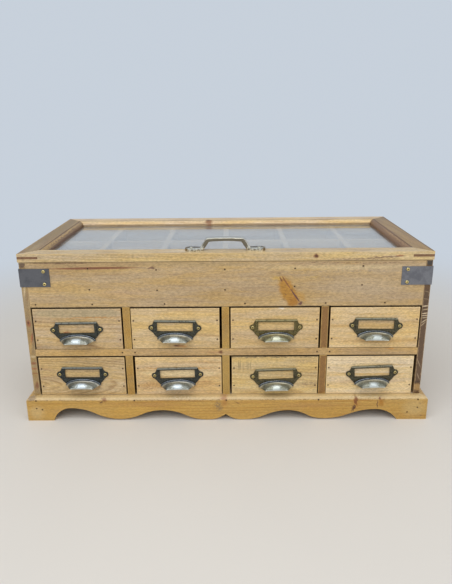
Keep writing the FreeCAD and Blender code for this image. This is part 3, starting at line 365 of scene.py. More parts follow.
def pineFinish(name, **changes):
    look = {**pine, **changes}
    finish = Finish(name)
    wood = look["wood"]
    low = finish.carried("fromLow")
    seed = finish.carried("seed", out="Fac")
    grain = finish.sum(low, finish.add("CombineXYZ", {}, {0: seed * 7.3, 1: seed * 3.1, 2: seed * 5.7}))
    along, across, through = finish.split(low)
    fromHigh = finish.split(finish.carried("toHigh"))
    where = finish.position()
    ruffle = finish.sum(finish.noise(where, 160, 2, out="Color"), (-0.5, -0.5, -0.5))
    ruffled = finish.sum(where, finish.stretch(ruffle, [part * mm for part in look["ruffle"]]))

    # growth rings round a heart that lies behind the face and leans a little
    chance = (seed * 37.7).math("FRACT") - 0.5
    wave = finish.grainNoise(grain, (2.4, 15, 15), 2.5) - 0.5
    side = across - look["pithAcross"] * mm + through * look["slant"]
    side = side + chance * (look["pithSpread"] * mm) + wave * (look["wobble"] * mm)
    depth = through + look["pithThrough"] * mm + along * look["tilt"]
    radius = (side * side + depth * depth) ** 0.5
    fine = finish.grainNoise(grain, (14, 120, 120)) - 0.5
    phase = radius * (1 / (look["ringSpacing"] * mm)) + fine * 0.9
    for mark in look["marks"]:
        if mark.get("knot"):
            phase = phase + finish.mark(ruffled, mark) * look["knotPush"]
    ring = phase.math("FRACT")
    uneven = finish.fade(finish.grainNoise(grain, (5, 60, 60)), 0.25, 0.75)
    late = finish.fade(ring, look["thin"], 0.86) * (1 - finish.fade(ring, 0.9, 1.0)) * uneven

    # broad patches, the swing of tone, rings and streaks
    broad = finish.fade(finish.grainNoise(grain, (3.2, 34, 34), 4, 0.6), 0.38, 0.66)
    colour = finish.mix(broad * look["patches"], tinted(wood, look["light"]), tinted(wood, look["second"]))
    tone = finish.fade(finish.grainNoise(grain, (9, 62, 62), 6, 0.68), 0.36, 0.64)
    swung = finish.multiplied(colour, finish.mix(tone, look["yellow"], look["pink"]))
    colour = finish.mix(look["warm"], colour, swung)
    colour = finish.mix(late * look["rings"], colour, finish.multiplied(colour, look["late"]))
    streak = finish.fade(finish.grainNoise(grain, (20, 680, 680)), 0.52, 0.72)
    colour = finish.mix(streak * look["streaks"], colour, finish.multiplied(colour, look["streak"]))

    # mottle, fibres, small dark flecks and saw ticks
    mottle = finish.grainNoise(grain, (240, 640, 640), 3, 0.65)
    fibre = finish.grainNoise(grain, (22, 800, 800), 3, 0.62)
    mottled = 1 - look["mottle"] * 0.5 + mottle * look["mottle"]
    texture = mottled * (1 - look["fibre"] * 0.5 + fibre * look["fibre"])
    colour = finish.scaled(colour, texture)
    fleck = finish.fade(finish.grainNoise(grain, (95, 1500, 1500), 1), 0.63, 0.76)
    colour = finish.mix(fleck * look["flecks"], colour, tinted(wood, look["fleck"]))
    if look["sawAt"]:
        ticks = finish.fade(finish.grainNoise(grain, (330, 9, 9), 1), 0.54, 0.66)
        sawn = ticks * finish.mark(ruffled, look["sawAt"])
        colour = finish.mix(sawn * look["saw"], colour, tinted(wood, (0.5, 0.5, 0.5)))

    # end grain drinks more stain
    end = 1 - finish.fade(along.math("MINIMUM", fromHigh[0]), 0.1 * mm, 0.7 * mm)
    colour = finish.mix(end, colour, finish.multiplied(colour, look["endGrain"]))

    # knots, streaks and stains of this board, and its painted shade and highlights
    for mark in look["marks"]:
        patch = finish.mark(where if mark.get("straight") else ruffled, mark) * mark["strength"]
        if mark.get("broken"):
            patch = patch * finish.fade(finish.noise(where, 420, 2), 0.38, 0.62)
        colour = finish.mix(patch, colour, finish.scaled(mark["colour"], texture))

    # corners rubbed pale, with a little dirt, and a dark stain round each pin
    ends = [one.math("MINIMUM", other) for one, other in zip((along, across, through), fromHigh)]
    smaller = ends[0].math("MINIMUM", ends[1])
    larger = ends[0].math("MAXIMUM", ends[1])
    toEdge = smaller.math("MAXIMUM", larger.math("MINIMUM", ends[2]))
    rub = finish.noise(where, 210, 3, 0.6)
    rubbed = 1 - finish.fade(toEdge - rub * (4.2 * mm) + 1.6 * mm, 0.0, 1.1 * mm)
    worn = tuple(min(1, part) for part in tinted(wood, look["worn"]))
    colour = finish.mix(rubbed * look["wear"], colour, worn)
    dirt = finish.fade(finish.noise(where, 95, 3, 0.65), 0.6, 0.75) * look["dirty"]
    colour = finish.mix(dirt * (1 - finish.fade(toEdge, 0.0, 3.5 * mm)), colour, tinted(wood, look["dirt"]))
    if look["nails"]:
        nearest = None
        for pin in look["nails"]:
            away = finish.add("VectorMath", {"operation": "DISTANCE"}, {0: where, 1: pin}, out="Value")
            nearest = away if nearest is None else nearest.math("MINIMUM", away)
        stain = 1 - finish.fade(nearest + (rub - 0.5) * (0.8 * mm), 1.0 * mm, 2.1 * mm)
        colour = finish.mix(stain * 0.75, colour, tinted(wood, look["nailStain"]))

    # painted shade in the gaps, just behind the front faces
    if look["front"] is not None:
        back = finish.split(where)[1] - look["front"]
        shadedGap = finish.fade(back, 0.15 * mm, 0.9 * mm) * (1 - finish.fade(back, 12 * mm, 30 * mm))
        colour = finish.mix(shadedGap * 0.92, colour, finish.multiplied(colour, look["gapShade"]))

    roughness = look["gloss"] + late * -0.06 + fleck * 0.18 + (fibre - 0.5) * 0.12
    finish.set(Base_Color=colour, Roughness=roughness)
    finish.relief(fibre * 0.5 - fleck * 0.6 + late * 0.25 + rub * 0.3, look["relief"], 0.25 * mm)
    return finish.material


def boards(node, name, finish, seed, corner=0.5 * mm, wholeOnly=False):
    # a node's boards, softened, each knowing its own grain and how far a point is from its edges
    piece = nodeCopy(node, name)
    if corner:
        soften(piece, corner, wholeOnly=wholeOnly)
    parts = loosePieces(piece)
    for number, part in enumerate(parts):
        low, high = limits(part)
        size = high - low
        order = sorted(range(3), key=lambda axis: -size[axis])
        points = [vertex.co for vertex in part.data.vertices]
        carry(part, "fromLow", "FLOAT_VECTOR", [[co[axis] - low[axis] for axis in order] for co in points])
        carry(part, "toHigh", "FLOAT_VECTOR", [[high[axis] - co[axis] for axis in order] for co in points])
        carry(part, "seed", "FLOAT", [(seed + number * 0.37) % 5] * len(points))
    piece = joined(parts, name)
    if wholeOnly:
        # boards that touch share corners here, so they keep their plain flat faces
        pickOnly(piece)
        bpy.ops.object.shade_flat()
    else:
        smooth(piece)
    return dress(piece, finish, [node])


def nailEnds(node):
    # both ends of every nail that a node holds
    ends = []
    for nail in loosePieces(nodeCopy(node, "nails")):
        low, high = limits(nail)
        size = sorted(high - low)
        if size[1] < 3 * mm:
            middle = (low + high) / 2
            axis = max(range(3), key=lambda index: high[index] - low[index])
            for end in (low[axis], high[axis]):
                point = middle.copy()
                point[axis] = end
                ends.append(tuple(point))
        bpy.data.objects.remove(nail)
    return ends


def pinsIn(node, ends):
    # those ends that come to the surface of this board
    low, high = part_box(node)
    found = []
    for point in ends:
        depths = [min(point[axis] - low[axis], high[axis] - point[axis]) for axis in range(3)]
        if -1 * mm < min(depths) < 1.5 * mm:
            found.append(point)
    return found


caseNailEnds = nailEnds("case_nails")

# Knots, streaks, stains, painted shade and painted highlights: where each stands on the cabinet and how far
# it reaches to each side, in mm.
# A size that is far larger than the board runs right through it.

deep = 900
sideFront = -137                    # the front edges of the case sides
knotDark = (0.085, 0.03, 0.018)
knotBrown = (0.23, 0.09, 0.03)
amber = (0.46, 0.20, 0.035)
rust = (0.33, 0.12, 0.045)
plum = (0.12, 0.045, 0.04)
greyed = (0.30, 0.25, 0.20)
shadeLine = (0.075, 0.035, 0.018)       # painted shade for the dark lines of mouldings, seams and edges
cream = (0.66, 0.52, 0.34)
tan = (0.55, 0.42, 0.26)


def spot(at, size, colour, strength=0.8, core=0.3, turn=0, **more):
    # the core is the part of its half width that has its full strength; turn is in degrees
    return {"at": at, "size": size, "colour": colour, "strength": strength, "core": core, "turn": turn,
            **more}


def faceMark(x, z, wide, high, *rest, **more):
    return spot((x, 0, z), (wide, deep, high), *rest, **more)


def topMark(x, y, wide, long, *rest, **more):
    return spot((x, y, 0), (wide, long, deep), *rest, **more)


def edgeMark(x, z, wide, high, colour, strength=0.85, core=0.3, turn=0):
    # on the narrow front edge of a case side
    return spot((x, sideFront, z), (wide, 30, high), colour, strength, core, turn, straight=True)


frontBoardMarks = (
    # painted shade along the seam under the lid
    faceMark(0, 251.8, 900, 1.0, (0.17, 0.09, 0.045), 0.7, 0.4, straight=True),
    faceMark(-190, 248, 110, 4.8, (0.40, 0.265, 0.12), 0.8, 0.6, straight=True),
    faceMark(-30, 248, 120, 4.5, (0.40, 0.285, 0.14), 0.6, 0.4),
    faceMark(-190, 243, 86, 2.4, (0.19, 0.065, 0.03), 0.92, 0.45, -0.5, straight=True),
    # painted shade along the board's lower edge, in the gap above the drawers
    faceMark(0, 183.2, 900, 1.1, (0.06, 0.035, 0.02), 0.9, 0.5, square=True, straight=True),
    faceMark(-106, 242.6, 8, 2.6, plum),
    # painted shade, deeper in the seam under the lid at the left
    faceMark(-235, 250.8, 62, 0.9, knotDark, 0.9, 0.6, straight=True),
    faceMark(205, 214, 120, 36, (0.50, 0.385, 0.25), 0.45, 0.2),
    faceMark(170, 242, 170, 5, (0.60, 0.46, 0.25), 0.55),
    faceMark(185, 248.6, 100, 0.8, (0.22, 0.11, 0.05), 0.75, 0.6, broken=True),
    faceMark(175, 236, 120, 2.2, greyed, 0.42, 0.2, broken=True),
    faceMark(140, 228, 60, 6, greyed, 0.35, 0.1, broken=True),
    faceMark(255, 200, 40, 14, (0.40, 0.29, 0.19), 0.4, 0.1),
    faceMark(-150, 205, 60, 9, (0.50, 0.33, 0.19), 0.45, 0.1),
    faceMark(92, 205, 14, 31, (0.42, 0.205, 0.028), 0.95, 0.55, -26, knot=True),
    faceMark(111, 198, 7, 15, (0.45, 0.25, 0.06), 0.85, 0.2, -35),
    faceMark(100, 190, 12, 12, (0.37, 0.16, 0.02), 0.85, 0.25, -20),
    faceMark(75, 226, 11, 4.5, (0.52, 0.33, 0.08), 0.8, 0.2),
    faceMark(126, 227.4, 15, 2, (0.55, 0.37, 0.12), 0.6, 0.2),
    faceMark(89, 219.4, 1.2, 14, (0.22, 0.085, 0.035), 0.9, 0.7, -33, straight=True),
    faceMark(103, 198.6, 1.5, 12.4, plum, 0.95, 0.7, -35.5, straight=True),
    faceMark(96.3, 208, 2.2, 2.8, plum, 0.9, turn=-35),
    faceMark(81.2, 224.3, 1.4, 5.5, (0.20, 0.075, 0.03), 0.9, 0.6, -28, straight=True),
    faceMark(80, 233, 3.5, 4.5, (0.30, 0.20, 0.10), 0.7),
    faceMark(110.3, 187.6, 4.2, 4.4, plum, 0.9),
    faceMark(88.6, 201, 1.3, 1.3, plum, 0.9),
)
shelfMarks = (
    faceMark(0, 115.5, 900, 0.7, (0.12, 0.07, 0.035), 0.8, 0.5, square=True, broken=True),
    # painted shade along the shelf's lower edge, in the gap above the lower drawers
    faceMark(0, 104.6, 900, 0.9, (0.06, 0.035, 0.02), 0.85, 0.5, square=True, straight=True),
    faceMark(-7.4, 110.3, 6.5, 4.2, knotBrown, 0.9, knot=True),
    faceMark(-7.0, 110.6, 2.6, 2.0, knotDark, 0.9),
    faceMark(247.7, 115.3, 9, 3.6, amber, 0.9, knot=True),
    faceMark(246, 116, 3, 1.3, knotBrown, 0.9),
    faceMark(-20, 110, 22, 3.0, rust, 0.35, 0.1),
    faceMark(60, 108, 110, 7, (0.38, 0.24, 0.10), 0.4),
)
plinthMarks = (
    # a pale band along the rounded top edge: wear, with a painted highlight where it catches the light from
    # above
    faceMark(0, 38.2, 900, 5.2, (0.62, 0.48, 0.262), 0.75, 0.55, straight=True),
    faceMark(0, 34.4, 900, 0.8, (0.26, 0.14, 0.045), 0.85, 0.5, broken=True),
    faceMark(-301, 38, 9, 4.5, (0.28, 0.19, 0.10), 0.85, 0.5),
    faceMark(304, 41, 8, 1.5, (0.20, 0.12, 0.07), 0.7),
    faceMark(-70, 37.6, 30, 1.6, (0.76, 0.66, 0.46), 0.5, broken=True),
    faceMark(210, 37.8, 40, 1.6, (0.76, 0.66, 0.46), 0.5, broken=True),
    faceMark(-188.6, 35.4, 6.5, 5, knotBrown, 0.85, knot=True),
    faceMark(-193.5, 31.1, 3.4, 2.0, knotDark),
    faceMark(-12, 24, 8, 13, (0.17, 0.125, 0.08), 0.75, turn=-14, broken=True),
    faceMark(-2, 30, 8, 12, (0.40, 0.185, 0.045), 0.8, 0.1),
    faceMark(-4, 37, 9, 4, rust, 0.6),
    faceMark(18, 29.2, 4, 1.6, knotDark, 0.7),
    faceMark(200, 27, 7, 15, (0.42, 0.21, 0.045), 0.7, 0.2),
    faceMark(199.5, 32, 2.8, 11, (0.19, 0.06, 0.014), 0.9, 0.4, -6, knot=True),
    faceMark(196.6, 20, 1.5, 8, knotDark, 0.9, 0.5),
    faceMark(194.2, 18, 1.0, 6, knotDark, 0.7, 0.5),
    faceMark(239, 29, 5.5, 10, (0.37, 0.16, 0.018), 0.9, 0.2, 12, knot=True),
    faceMark(237, 35.5, 2.6, 3.2, (0.16, 0.05, 0.014), 0.85),
    faceMark(232.7, 26.5, 1.3, 9, knotDark, 0.9, 0.5),
    faceMark(297.8, 27.4, 3, 2, knotDark, 0.6),
    faceMark(299.8, 6.7, 3, 2, knotDark, 0.6),
    faceMark(-120, 27, 90, 5, (0.42, 0.225, 0.068), 0.7, 0.1),
    faceMark(125, 25, 80, 7, (0.43, 0.235, 0.07), 0.7, 0.1),
    faceMark(40, 31, 60, 2.5, (0.44, 0.24, 0.07), 0.6, 0.1),
    faceMark(-250, 14, 40, 12, (0.50, 0.31, 0.12), 0.4, 0.1),
    faceMark(290, 20, 26, 22, (0.54, 0.385, 0.16), 0.6),
    faceMark(-295, 14, 18, 16, (0.56, 0.41, 0.19), 0.6),
)
partitionMarks = (
    faceMark(147.5, 110, 14, 260, (0.235, 0.115, 0.033), 0.9, 0.85, straight=True),
    faceMark(0, 75, 14, 60, (0.42, 0.27, 0.07), 0.6, 0.5, straight=True),
)
# painted shade on the dividers' faces below their top edges, inside the tray
dividerShadeMarks = (
    spot((0, -64, 220), (900, 64.6, 30.9), (0.16, 0.13, 0.11), 0.85, 0.96, square=True, straight=True),
    spot((0, 76, 220), (900, 64.6, 30.9), (0.16, 0.13, 0.11), 0.85, 0.96, square=True, straight=True),
)
lidFrontMarks = (
    # painted shade along the seam under the lid, deeper at the left
    spot((0, -138, 252.4), (900, 30, 0.9), shadeLine, 0.5, straight=True),
    spot((-232, -138, 252.4), (80, 30, 1.5), knotDark, 0.9, 0.5, straight=True),
    # painted shade in the moulding's line and where the moulding meets the glass
    topMark(0, -112.6, 900, 0.7, shadeLine, 0.35, 0.4, straight=True),
    topMark(0, -104.2, 900, 1.3, shadeLine, 0.7, 0.4, straight=True),
    spot((131, -137, 259), (6.0, 40, 4.4), knotBrown, 0.9, knot=True),
    spot((131, -137, 259), (3.2, 40, 2.5), knotDark, 0.9),
    spot((229, -137, 257), (34, 30, 1.5), plum, 0.75, turn=-1.5),
    spot((250, -137, 258.5), (8, 30, 1.6), rust),
    spot((200, -137, 254), (80, 30, 1.6), plum, 0.6),
    spot((-60, -125, 265), (38, 9, 12), (0.72, 0.60, 0.42), 0.55, 0.1),
)
lidBackMarks = (
    # painted shade in the moulding's line, a painted highlight on its round, and painted shade where it meets
    # the glass
    topMark(0, 122.2, 900, 0.8, shadeLine, 0.5, 0.4, straight=True),
    topMark(0, 118.5, 900, 1.6, (0.80, 0.68, 0.45), 0.55, 0.2, straight=True),
    topMark(0, 113.8, 900, 1.2, shadeLine, 0.6, 0.4, straight=True),
    spot((-32, 118, 262), (9, 12, 20), knotBrown, 0.85, knot=True),
    spot((-34, 123, 264), (5.5, 4, 20), knotDark, 0.7),
    spot((60, 128, 265), (5, 3, 12), knotBrown, 0.5),
)
lidSideMarks = (
    # painted shade along the glass on both rails
    topMark(-266.8, 0, 1.6, 900, knotDark, 0.8, 0.4, straight=True),
    topMark(266.8, 0, 1.6, 900, knotDark, 0.8, 0.4, straight=True),
    topMark(-288, 0, 13, 200, (0.22, 0.15, 0.066), 0.6, 0.7),
    # painted shade in the moulding lines, and along the right rail's outer edge, with some dirt there
    topMark(-275.2, 0, 1.0, 900, shadeLine, 0.85, 0.4, straight=True),
    topMark(275.2, 0, 1.2, 900, shadeLine, 0.9, 0.4, straight=True),
    topMark(299.2, 0, 2.2, 900, shadeLine, 0.85, 0.5, straight=True),
    # a painted highlight along the round of the left moulding
    spot((-271.5, -10, 262), (2.6, 150, 20), (0.44, 0.28, 0.105)),
    spot((-269, 20, 262), (1.5, 150, 20), (0.15, 0.07, 0.03), 0.8, 0.2),
    spot((-286, -95, 265), (9, 60, 20), (0.42, 0.30, 0.14), 0.55, 0.1),
    spot((-281, -70, 265), (7, 70, 20), (0.26, 0.16, 0.085), 0.6, 0.1),
    spot((271, 10, 260), (8, 190, 20), (0.20, 0.10, 0.04), 0.85, 0.55),
    # a painted highlight along the round of the right moulding
    spot((271.5, -30, 260), (1.8, 110, 20), (0.42, 0.26, 0.11), 0.7, 0.2),
    spot((290, -60, 265), (7, 60, 20), (0.30, 0.18, 0.09), 0.5, 0.1),
)
sideLeftMarks = (
    edgeMark(-294.5, 248.5, 6, 5, (0.13, 0.08, 0.05), 0.85, 0.7),
    edgeMark(-294, 215, 2.2, 26, (0.62, 0.48, 0.29), 0.7, turn=8),
    edgeMark(-291.5, 200, 1.0, 22, (0.30, 0.17, 0.07), 0.6, turn=6),
    edgeMark(-294.5, 158, 4.5, 8, rust),
    edgeMark(-295, 159, 2.0, 3.5, knotDark, 0.8),
    edgeMark(-293, 133, 1.8, 15, (0.36, 0.10, 0.03), 0.9, turn=14),
    edgeMark(-290.5, 138, 1.2, 22, plum, 0.8, turn=4),
    edgeMark(-296, 120, 2.5, 20, (0.50, 0.31, 0.11), 0.7, turn=8),
    edgeMark(-294, 104, 6, 3.0, (0.60, 0.47, 0.28), 0.7),
    edgeMark(-294, 93, 7, 3.4, (0.27, 0.10, 0.035)),
    edgeMark(-294, 84, 7, 2.4, rust, 0.8),
    edgeMark(-294, 76, 7, 1.6, (0.27, 0.10, 0.035), 0.8),
    edgeMark(-293, 56, 4.5, 9, (0.22, 0.09, 0.035), turn=10),
)
sideRightMarks = (
    edgeMark(294, 120, 12, 62, (0.115, 0.066, 0.035), 0.85, 0.8),
    edgeMark(294, 180, 12, 32, (0.10, 0.058, 0.031), 0.85, 0.75),
    edgeMark(295.5, 204, 6, 1.0, (0.26, 0.18, 0.10), 0.8, 0.4, 18),
    edgeMark(294.5, 193, 6, 0.9, (0.26, 0.18, 0.10), 0.8, 0.4, 10),
    edgeMark(294.5, 182, 6, 1.1, cream, 0.9, 0.5, -6),
    edgeMark(294.5, 176.6, 6, 1.0, (0.50, 0.37, 0.22), 0.85, 0.5, -10),
    edgeMark(294.5, 170.6, 6, 1.0, cream, 0.9, 0.5, -8),
    edgeMark(294.5, 167.2, 6, 0.9, cream, 0.9, 0.5, -6),
    edgeMark(294.5, 163.8, 6, 0.9, tan, 0.9, 0.5, -6),
    edgeMark(294.5, 158.5, 7, 1.0, tan, 0.85, 0.5, -38),
    edgeMark(293.5, 153.5, 7, 0.9, (0.46, 0.34, 0.20), 0.8, 0.5, -46),
    edgeMark(293.5, 90, 0.9, 12, (0.36, 0.26, 0.16), 0.8, turn=-24),
    edgeMark(294.5, 68, 1.0, 9, (0.36, 0.26, 0.16), 0.8, turn=-24),
    edgeMark(294, 59, 9, 1.8, (0.06, 0.035, 0.02), 0.8, turn=-8),
    edgeMark(294, 50, 9, 7, (0.42, 0.25, 0.085), 0.75, 0.6),
    edgeMark(295, 248.5, 6, 5, (0.05, 0.042, 0.036), 0.9, 0.7),
)

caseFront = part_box("front_board")[0].y
sideLook = {"wood": (0.395, 0.295, 0.162), "endGrain": (0.90, 0.85, 0.72), "rings": 0.9, "wobble": 16,
            "slant": 0.8}
rightLook = {**sideLook, "wood": (0.40, 0.28, 0.15), "endGrain": (0.36, 0.29, 0.24), "slant": 1.3,
             "ringSpacing": 4.6, "late": (0.36, 0.30, 0.26), "thin": 0.1}
plinthLook = {"wood": (0.50, 0.308, 0.078), "mottle": 0.85, "streaks": 0.65, "late": (0.70, 0.52, 0.30),
              "gloss": 0.34, "worn": (1.2, 1.35, 1.9), "warm": 0.5}
lidLook = {"wood": (0.585, 0.445, 0.232), "gloss": 0.36, "pithAcross": 5, "rings": 0.6, "ringSpacing": 4.5}
lidBackLook = {**lidLook, "wood": (0.68, 0.51, 0.28)}
lidSideLook = {**lidLook, "wood": (0.335, 0.22, 0.088), "rings": 0.9, "ringSpacing": 7, "gloss": 0.46,
               "mottle": 0.7}
innerLook = {"wood": (0.52, 0.40, 0.25), "gloss": 0.62, "relief": 0.5, "worn": (1.1, 1.08, 1.05)}
dividerLook = {**innerLook, "wood": (0.50, 0.39, 0.255)}
# the case back's inner pine painted darker, as shade inside the tray
shadedBackLook = {**innerLook, "wood": (0.42, 0.33, 0.215)}

print("pine boards")
frontPine = pineFinish("frontBoardPine", wood=(0.482, 0.342, 0.170), rings=0.2, ringSpacing=4.4, tilt=0.01,
                       pithAcross=75, saw=0.35, sawAt=faceMark(-195, 247, 95, 10, None), front=caseFront,
                       marks=frontBoardMarks, nails=pinsIn("front_board", caseNailEnds))
boards("front_board", "frontBoard", frontPine, 0.3)
shelfPine = pineFinish("shelfPine", wood=(0.53, 0.36, 0.155), front=caseFront, marks=shelfMarks,
                       nails=pinsIn("drawer_shelf", caseNailEnds))
boards("drawer_shelf", "drawerShelf", shelfPine, 1.1)
partitionPine = pineFinish("partitionPine", wood=(0.46, 0.305, 0.098), endGrain=(0.92, 0.86, 0.72),
                           front=caseFront, marks=partitionMarks)
boards("drawer_partitions", "drawerPartitions", partitionPine, 2.3)
leftPine = pineFinish("leftSidePine", **sideLook, marks=sideLeftMarks)
boards("case_side_left", "leftSide", leftPine, 3.1)
rightPine = pineFinish("rightSidePine", **rightLook, marks=sideRightMarks)
boards("case_side_right", "rightSide", rightPine, 4.2)
boards("case_back", "caseBack", pineFinish("caseBackPine", **shadedBackLook), 0.9)
boards("case_bottom", "caseBottom", pineFinish("caseBottomPine", **innerLook), 1.9)
boards("tray_floor", "trayFloor", pineFinish("trayPine", **innerLook), 2.9)
dividerPine = pineFinish("dividerPine", **dividerLook, marks=dividerShadeMarks)
boards("tray_dividers", "trayDividers", dividerPine, 3.6, wholeOnly=True)
plinthPine = pineFinish("plinthPine", **plinthLook)
plinthFrontPine = pineFinish("plinthFrontPine", **plinthLook, pithAcross=60, tilt=0.015, marks=plinthMarks,
                             nails=pinsIn("plinth_front", caseNailEnds))
boards("plinth_front", "plinthFront", plinthFrontPine, 1.4)
boards("plinth_left", "plinthLeft", plinthPine, 2.4)
boards("plinth_right", "plinthRight", plinthPine, 3.4)
boards("plinth_back", "plinthBack", plinthPine, 4.4)
boards("plinth_corner_blocks", "cornerBlocks", plinthPine, 0.4)
lidCorner = 0.7 * mm
lidFrontPine = pineFinish("lidFrontPine", **lidLook, marks=lidFrontMarks)
boards("lid_front_rail", "lidFrontRail", lidFrontPine, 0.7, lidCorner)
lidBackPine = pineFinish("lidBackPine", **lidBackLook, marks=lidBackMarks)
boards("lid_back_rail", "lidBackRail", lidBackPine, 1.7, lidCorner)
lidSidePine = pineFinish("lidSidePine", **lidSideLook, marks=lidSideMarks)
boards("lid_side_rails", "lidSideRails", lidSidePine, 2.7, lidCorner)
keyWood = pineFinish("keyWood", wood=(0.20, 0.105, 0.05), wear=0.2)
boards("lid_corner_keys", "cornerKeys", keyWood, 3.9, 0)

# One look for each drawer front, from the top left to the bottom right
drawerLooks = {
    1: {"wood": (0.53, 0.388, 0.212), "ringSpacing": 4.4, "rings": 0.85, "thin": 0.5, "saw": 0.85,
        "sawAt": faceMark(-222, 174, 80, 8.5, None), "marks": (
        faceMark(-222, 174, 84, 8.5, (0.42, 0.33, 0.187), 0.75, 0.7),
        faceMark(-200, 166.6, 62, 1.2, amber, 0.7),
        faceMark(-239, 144, 9, 1.8, rust, 0.85),
        faceMark(-270, 120, 22, 4, (0.38, 0.28, 0.17), 0.5))},
    2: {"wood": (0.605, 0.442, 0.218), "ringSpacing": 3.8, "thin": 0.5, "rings": 0.5, "marks": (
        faceMark(-71, 121, 11, 3.6, knotBrown, knot=True),
        faceMark(-64, 120, 9, 3, amber, 0.6),
        faceMark(-74, 121.5, 4.5, 1.8, knotDark, 0.7))},
    3: {"wood": (0.61, 0.445, 0.22), "ringSpacing": 4.2, "thin": 0.5, "rings": 0.5, "marks": (
        faceMark(83.6, 179.5, 7, 1.6, (0.80, 0.74, 0.62), 0.85),
        faceMark(20, 152, 24, 1.2, greyed, 0.35),
        faceMark(118, 160, 22, 1.4, greyed, 0.35))},
    4: {"wood": (0.66, 0.482, 0.238), "ringSpacing": 5.5, "rings": 0.55, "wobble": 3, "tilt": 0.01, "marks": (
        faceMark(217, 170, 70, 1.8, (0.52, 0.33, 0.11), 0.65),
        faceMark(222, 152, 80, 3.2, (0.50, 0.32, 0.12), 0.6),
        faceMark(224, 127, 80, 3.6, (0.50, 0.30, 0.10), 0.7))},
    5: {"wood": (0.555, 0.412, 0.213), "ringSpacing": 3.4, "rings": 0.75, "tilt": 0.16, "pithThrough": 8,
        "pithAcross": 38, "wobble": 12, "marks": (
        faceMark(-215, 95, 60, 3.5, (0.42, 0.31, 0.17), 0.5),
        faceMark(-274, 81.5, 13, 0.9, rust, 0.5, turn=22),
        faceMark(-274, 71.5, 13, 0.9, rust, 0.5, turn=-14))},
    6: {"wood": (0.665, 0.49, 0.25), "ringSpacing": 6.5, "rings": 0.75, "wobble": 3, "tilt": 0.005, "marks": (
        faceMark(-72, 83.5, 72, 1.7, (0.52, 0.27, 0.065), 0.9, 0.5),
        faceMark(-72, 75, 80, 6.5, (0.72, 0.57, 0.32), 0.7, 0.5),
        faceMark(-72, 57, 80, 9, (0.56, 0.34, 0.13), 0.6),
        faceMark(-118, 53, 22, 13, (0.40, 0.22, 0.09), 0.6, broken=True),
        faceMark(-45, 61, 40, 1.3, (0.44, 0.22, 0.07), 0.7))},
    7: {"wood": (0.615, 0.465, 0.222), "ringSpacing": 3.6, "rings": 0.6, "saw": 0.8,
        "sawAt": faceMark(28, 88, 24, 13, None), "marks": (
        # painted shade along the top edge, in the gap under the shelf
        faceMark(75, 102.1, 80, 1.5, (0.05, 0.03, 0.02), 0.9, 0.7, square=True),
        faceMark(115, 94, 40, 5, (0.36, 0.25, 0.14), 0.5, broken=True),
        faceMark(128, 57, 20, 4.5, (0.26, 0.17, 0.10), 0.7, broken=True),
        faceMark(45, 70, 50, 9, (0.64, 0.50, 0.28), 0.5, 0.1))},
    8: {"wood": (0.71, 0.56, 0.325), "ringSpacing": 5.5, "rings": 0.45, "wobble": 4, "tilt": 0.01, "marks": (
        faceMark(218, 88, 80, 2.4, (0.50, 0.36, 0.20), 0.6, broken=True),
        faceMark(218, 72, 80, 2.6, (0.60, 0.39, 0.14)),
        faceMark(218, 60, 80, 2.6, (0.52, 0.36, 0.22), 0.65),
        faceMark(218, 48, 80, 4.0, (0.72, 0.58, 0.35), 0.5))},
}
boxPine = pineFinish("drawerBoxPine", **innerLook)
for number, look in drawerLooks.items():
    node = f"drawer_{number}_front"
    pins = pinsIn(node, nailEnds(f"drawer_{number}_fixings"))
    frontPine = pineFinish(f"drawerPine{number}", **look, front=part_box(node)[0].y, nails=pins)
    boards(node, f"drawerFront{number}", frontPine, number * 0.61, 0)
    boards(f"drawer_{number}_box", f"drawerBox{number}", boxPine, number * 0.43, wholeOnly=True)
print("drawers")


# Metals

def shadedRecess(finish, tone):
    # painted shade in the cross recess in the middle of a screw head
    fromAxis = finish.length(finish.stretch(finish.carried("own"), (1, 1, 0)))
    return finish.mix((1 - finish.fade(fromAxis, 0.6 * mm, 1.3 * mm)) * 0.88, tone, (0.045, 0.032, 0.014))


def metalFinish(name, colour, patina, rough=0.36, metallic=1.0, spots=0.5, scale=240, screws=False, paintedLightByX=None):
    # worn metal with a duller patina in blotches
    finish = Finish(name)
    where = finish.position()
    cloud = finish.noise(where, scale, 4, 0.62)
    speck = finish.noise(where, scale * 6, 2)
    dull = finish.fade(cloud, 0.42, 0.66) * spots
    tone = finish.scaled(finish.mix(dull, colour, patina), 0.86 + speck * 0.28)
    if screws:
        # painted shade in the cross recess
        tone = shadedRecess(finish, tone)
    if paintedLightByX:                         # painted light: one end of the cabinet lit more than the other
        toRight = finish.fade(finish.split(where)[0], -200 * mm, 200 * mm)
        tone = finish.scaled(tone, paintedLightByX[0] + toRight * (paintedLightByX[1] - paintedLightByX[0]))
    finish.set(Base_Color=tone, Metallic=metallic - dull * 0.25,
               Roughness=rough + dull * 0.22 + (speck - 0.5) * 0.12)
    finish.relief(cloud * 0.6 + speck * 0.4, 0.2, 0.15 * mm)
    return finish.material


nailSteel = metalFinish("nailSteel", (0.02, 0.015, 0.012), (0.008, 0.006, 0.005), rough=0.55, metallic=0.6)
screwBrass = metalFinish("screwBrass", (0.80, 0.64, 0.27), (0.40, 0.29, 0.10), spots=0.3, scale=500,
                         screws=True)
screwNickel = metalFinish("screwNickel", (0.60, 0.58, 0.50), (0.22, 0.18, 0.11), rough=0.28, spots=0.3,
                          scale=500, screws=True)
hingeSteel = metalFinish("hingeSteel", (0.34, 0.30, 0.22), (0.10, 0.08, 0.05))
# painted light: the right bracket paler than the left
slateMetal = metalFinish("slateMetal", (0.135, 0.136, 0.147), (0.080, 0.082, 0.094), rough=0.5, metallic=0.35,
                         scale=70, spots=0.85, paintedLightByX=(0.87, 1.36))

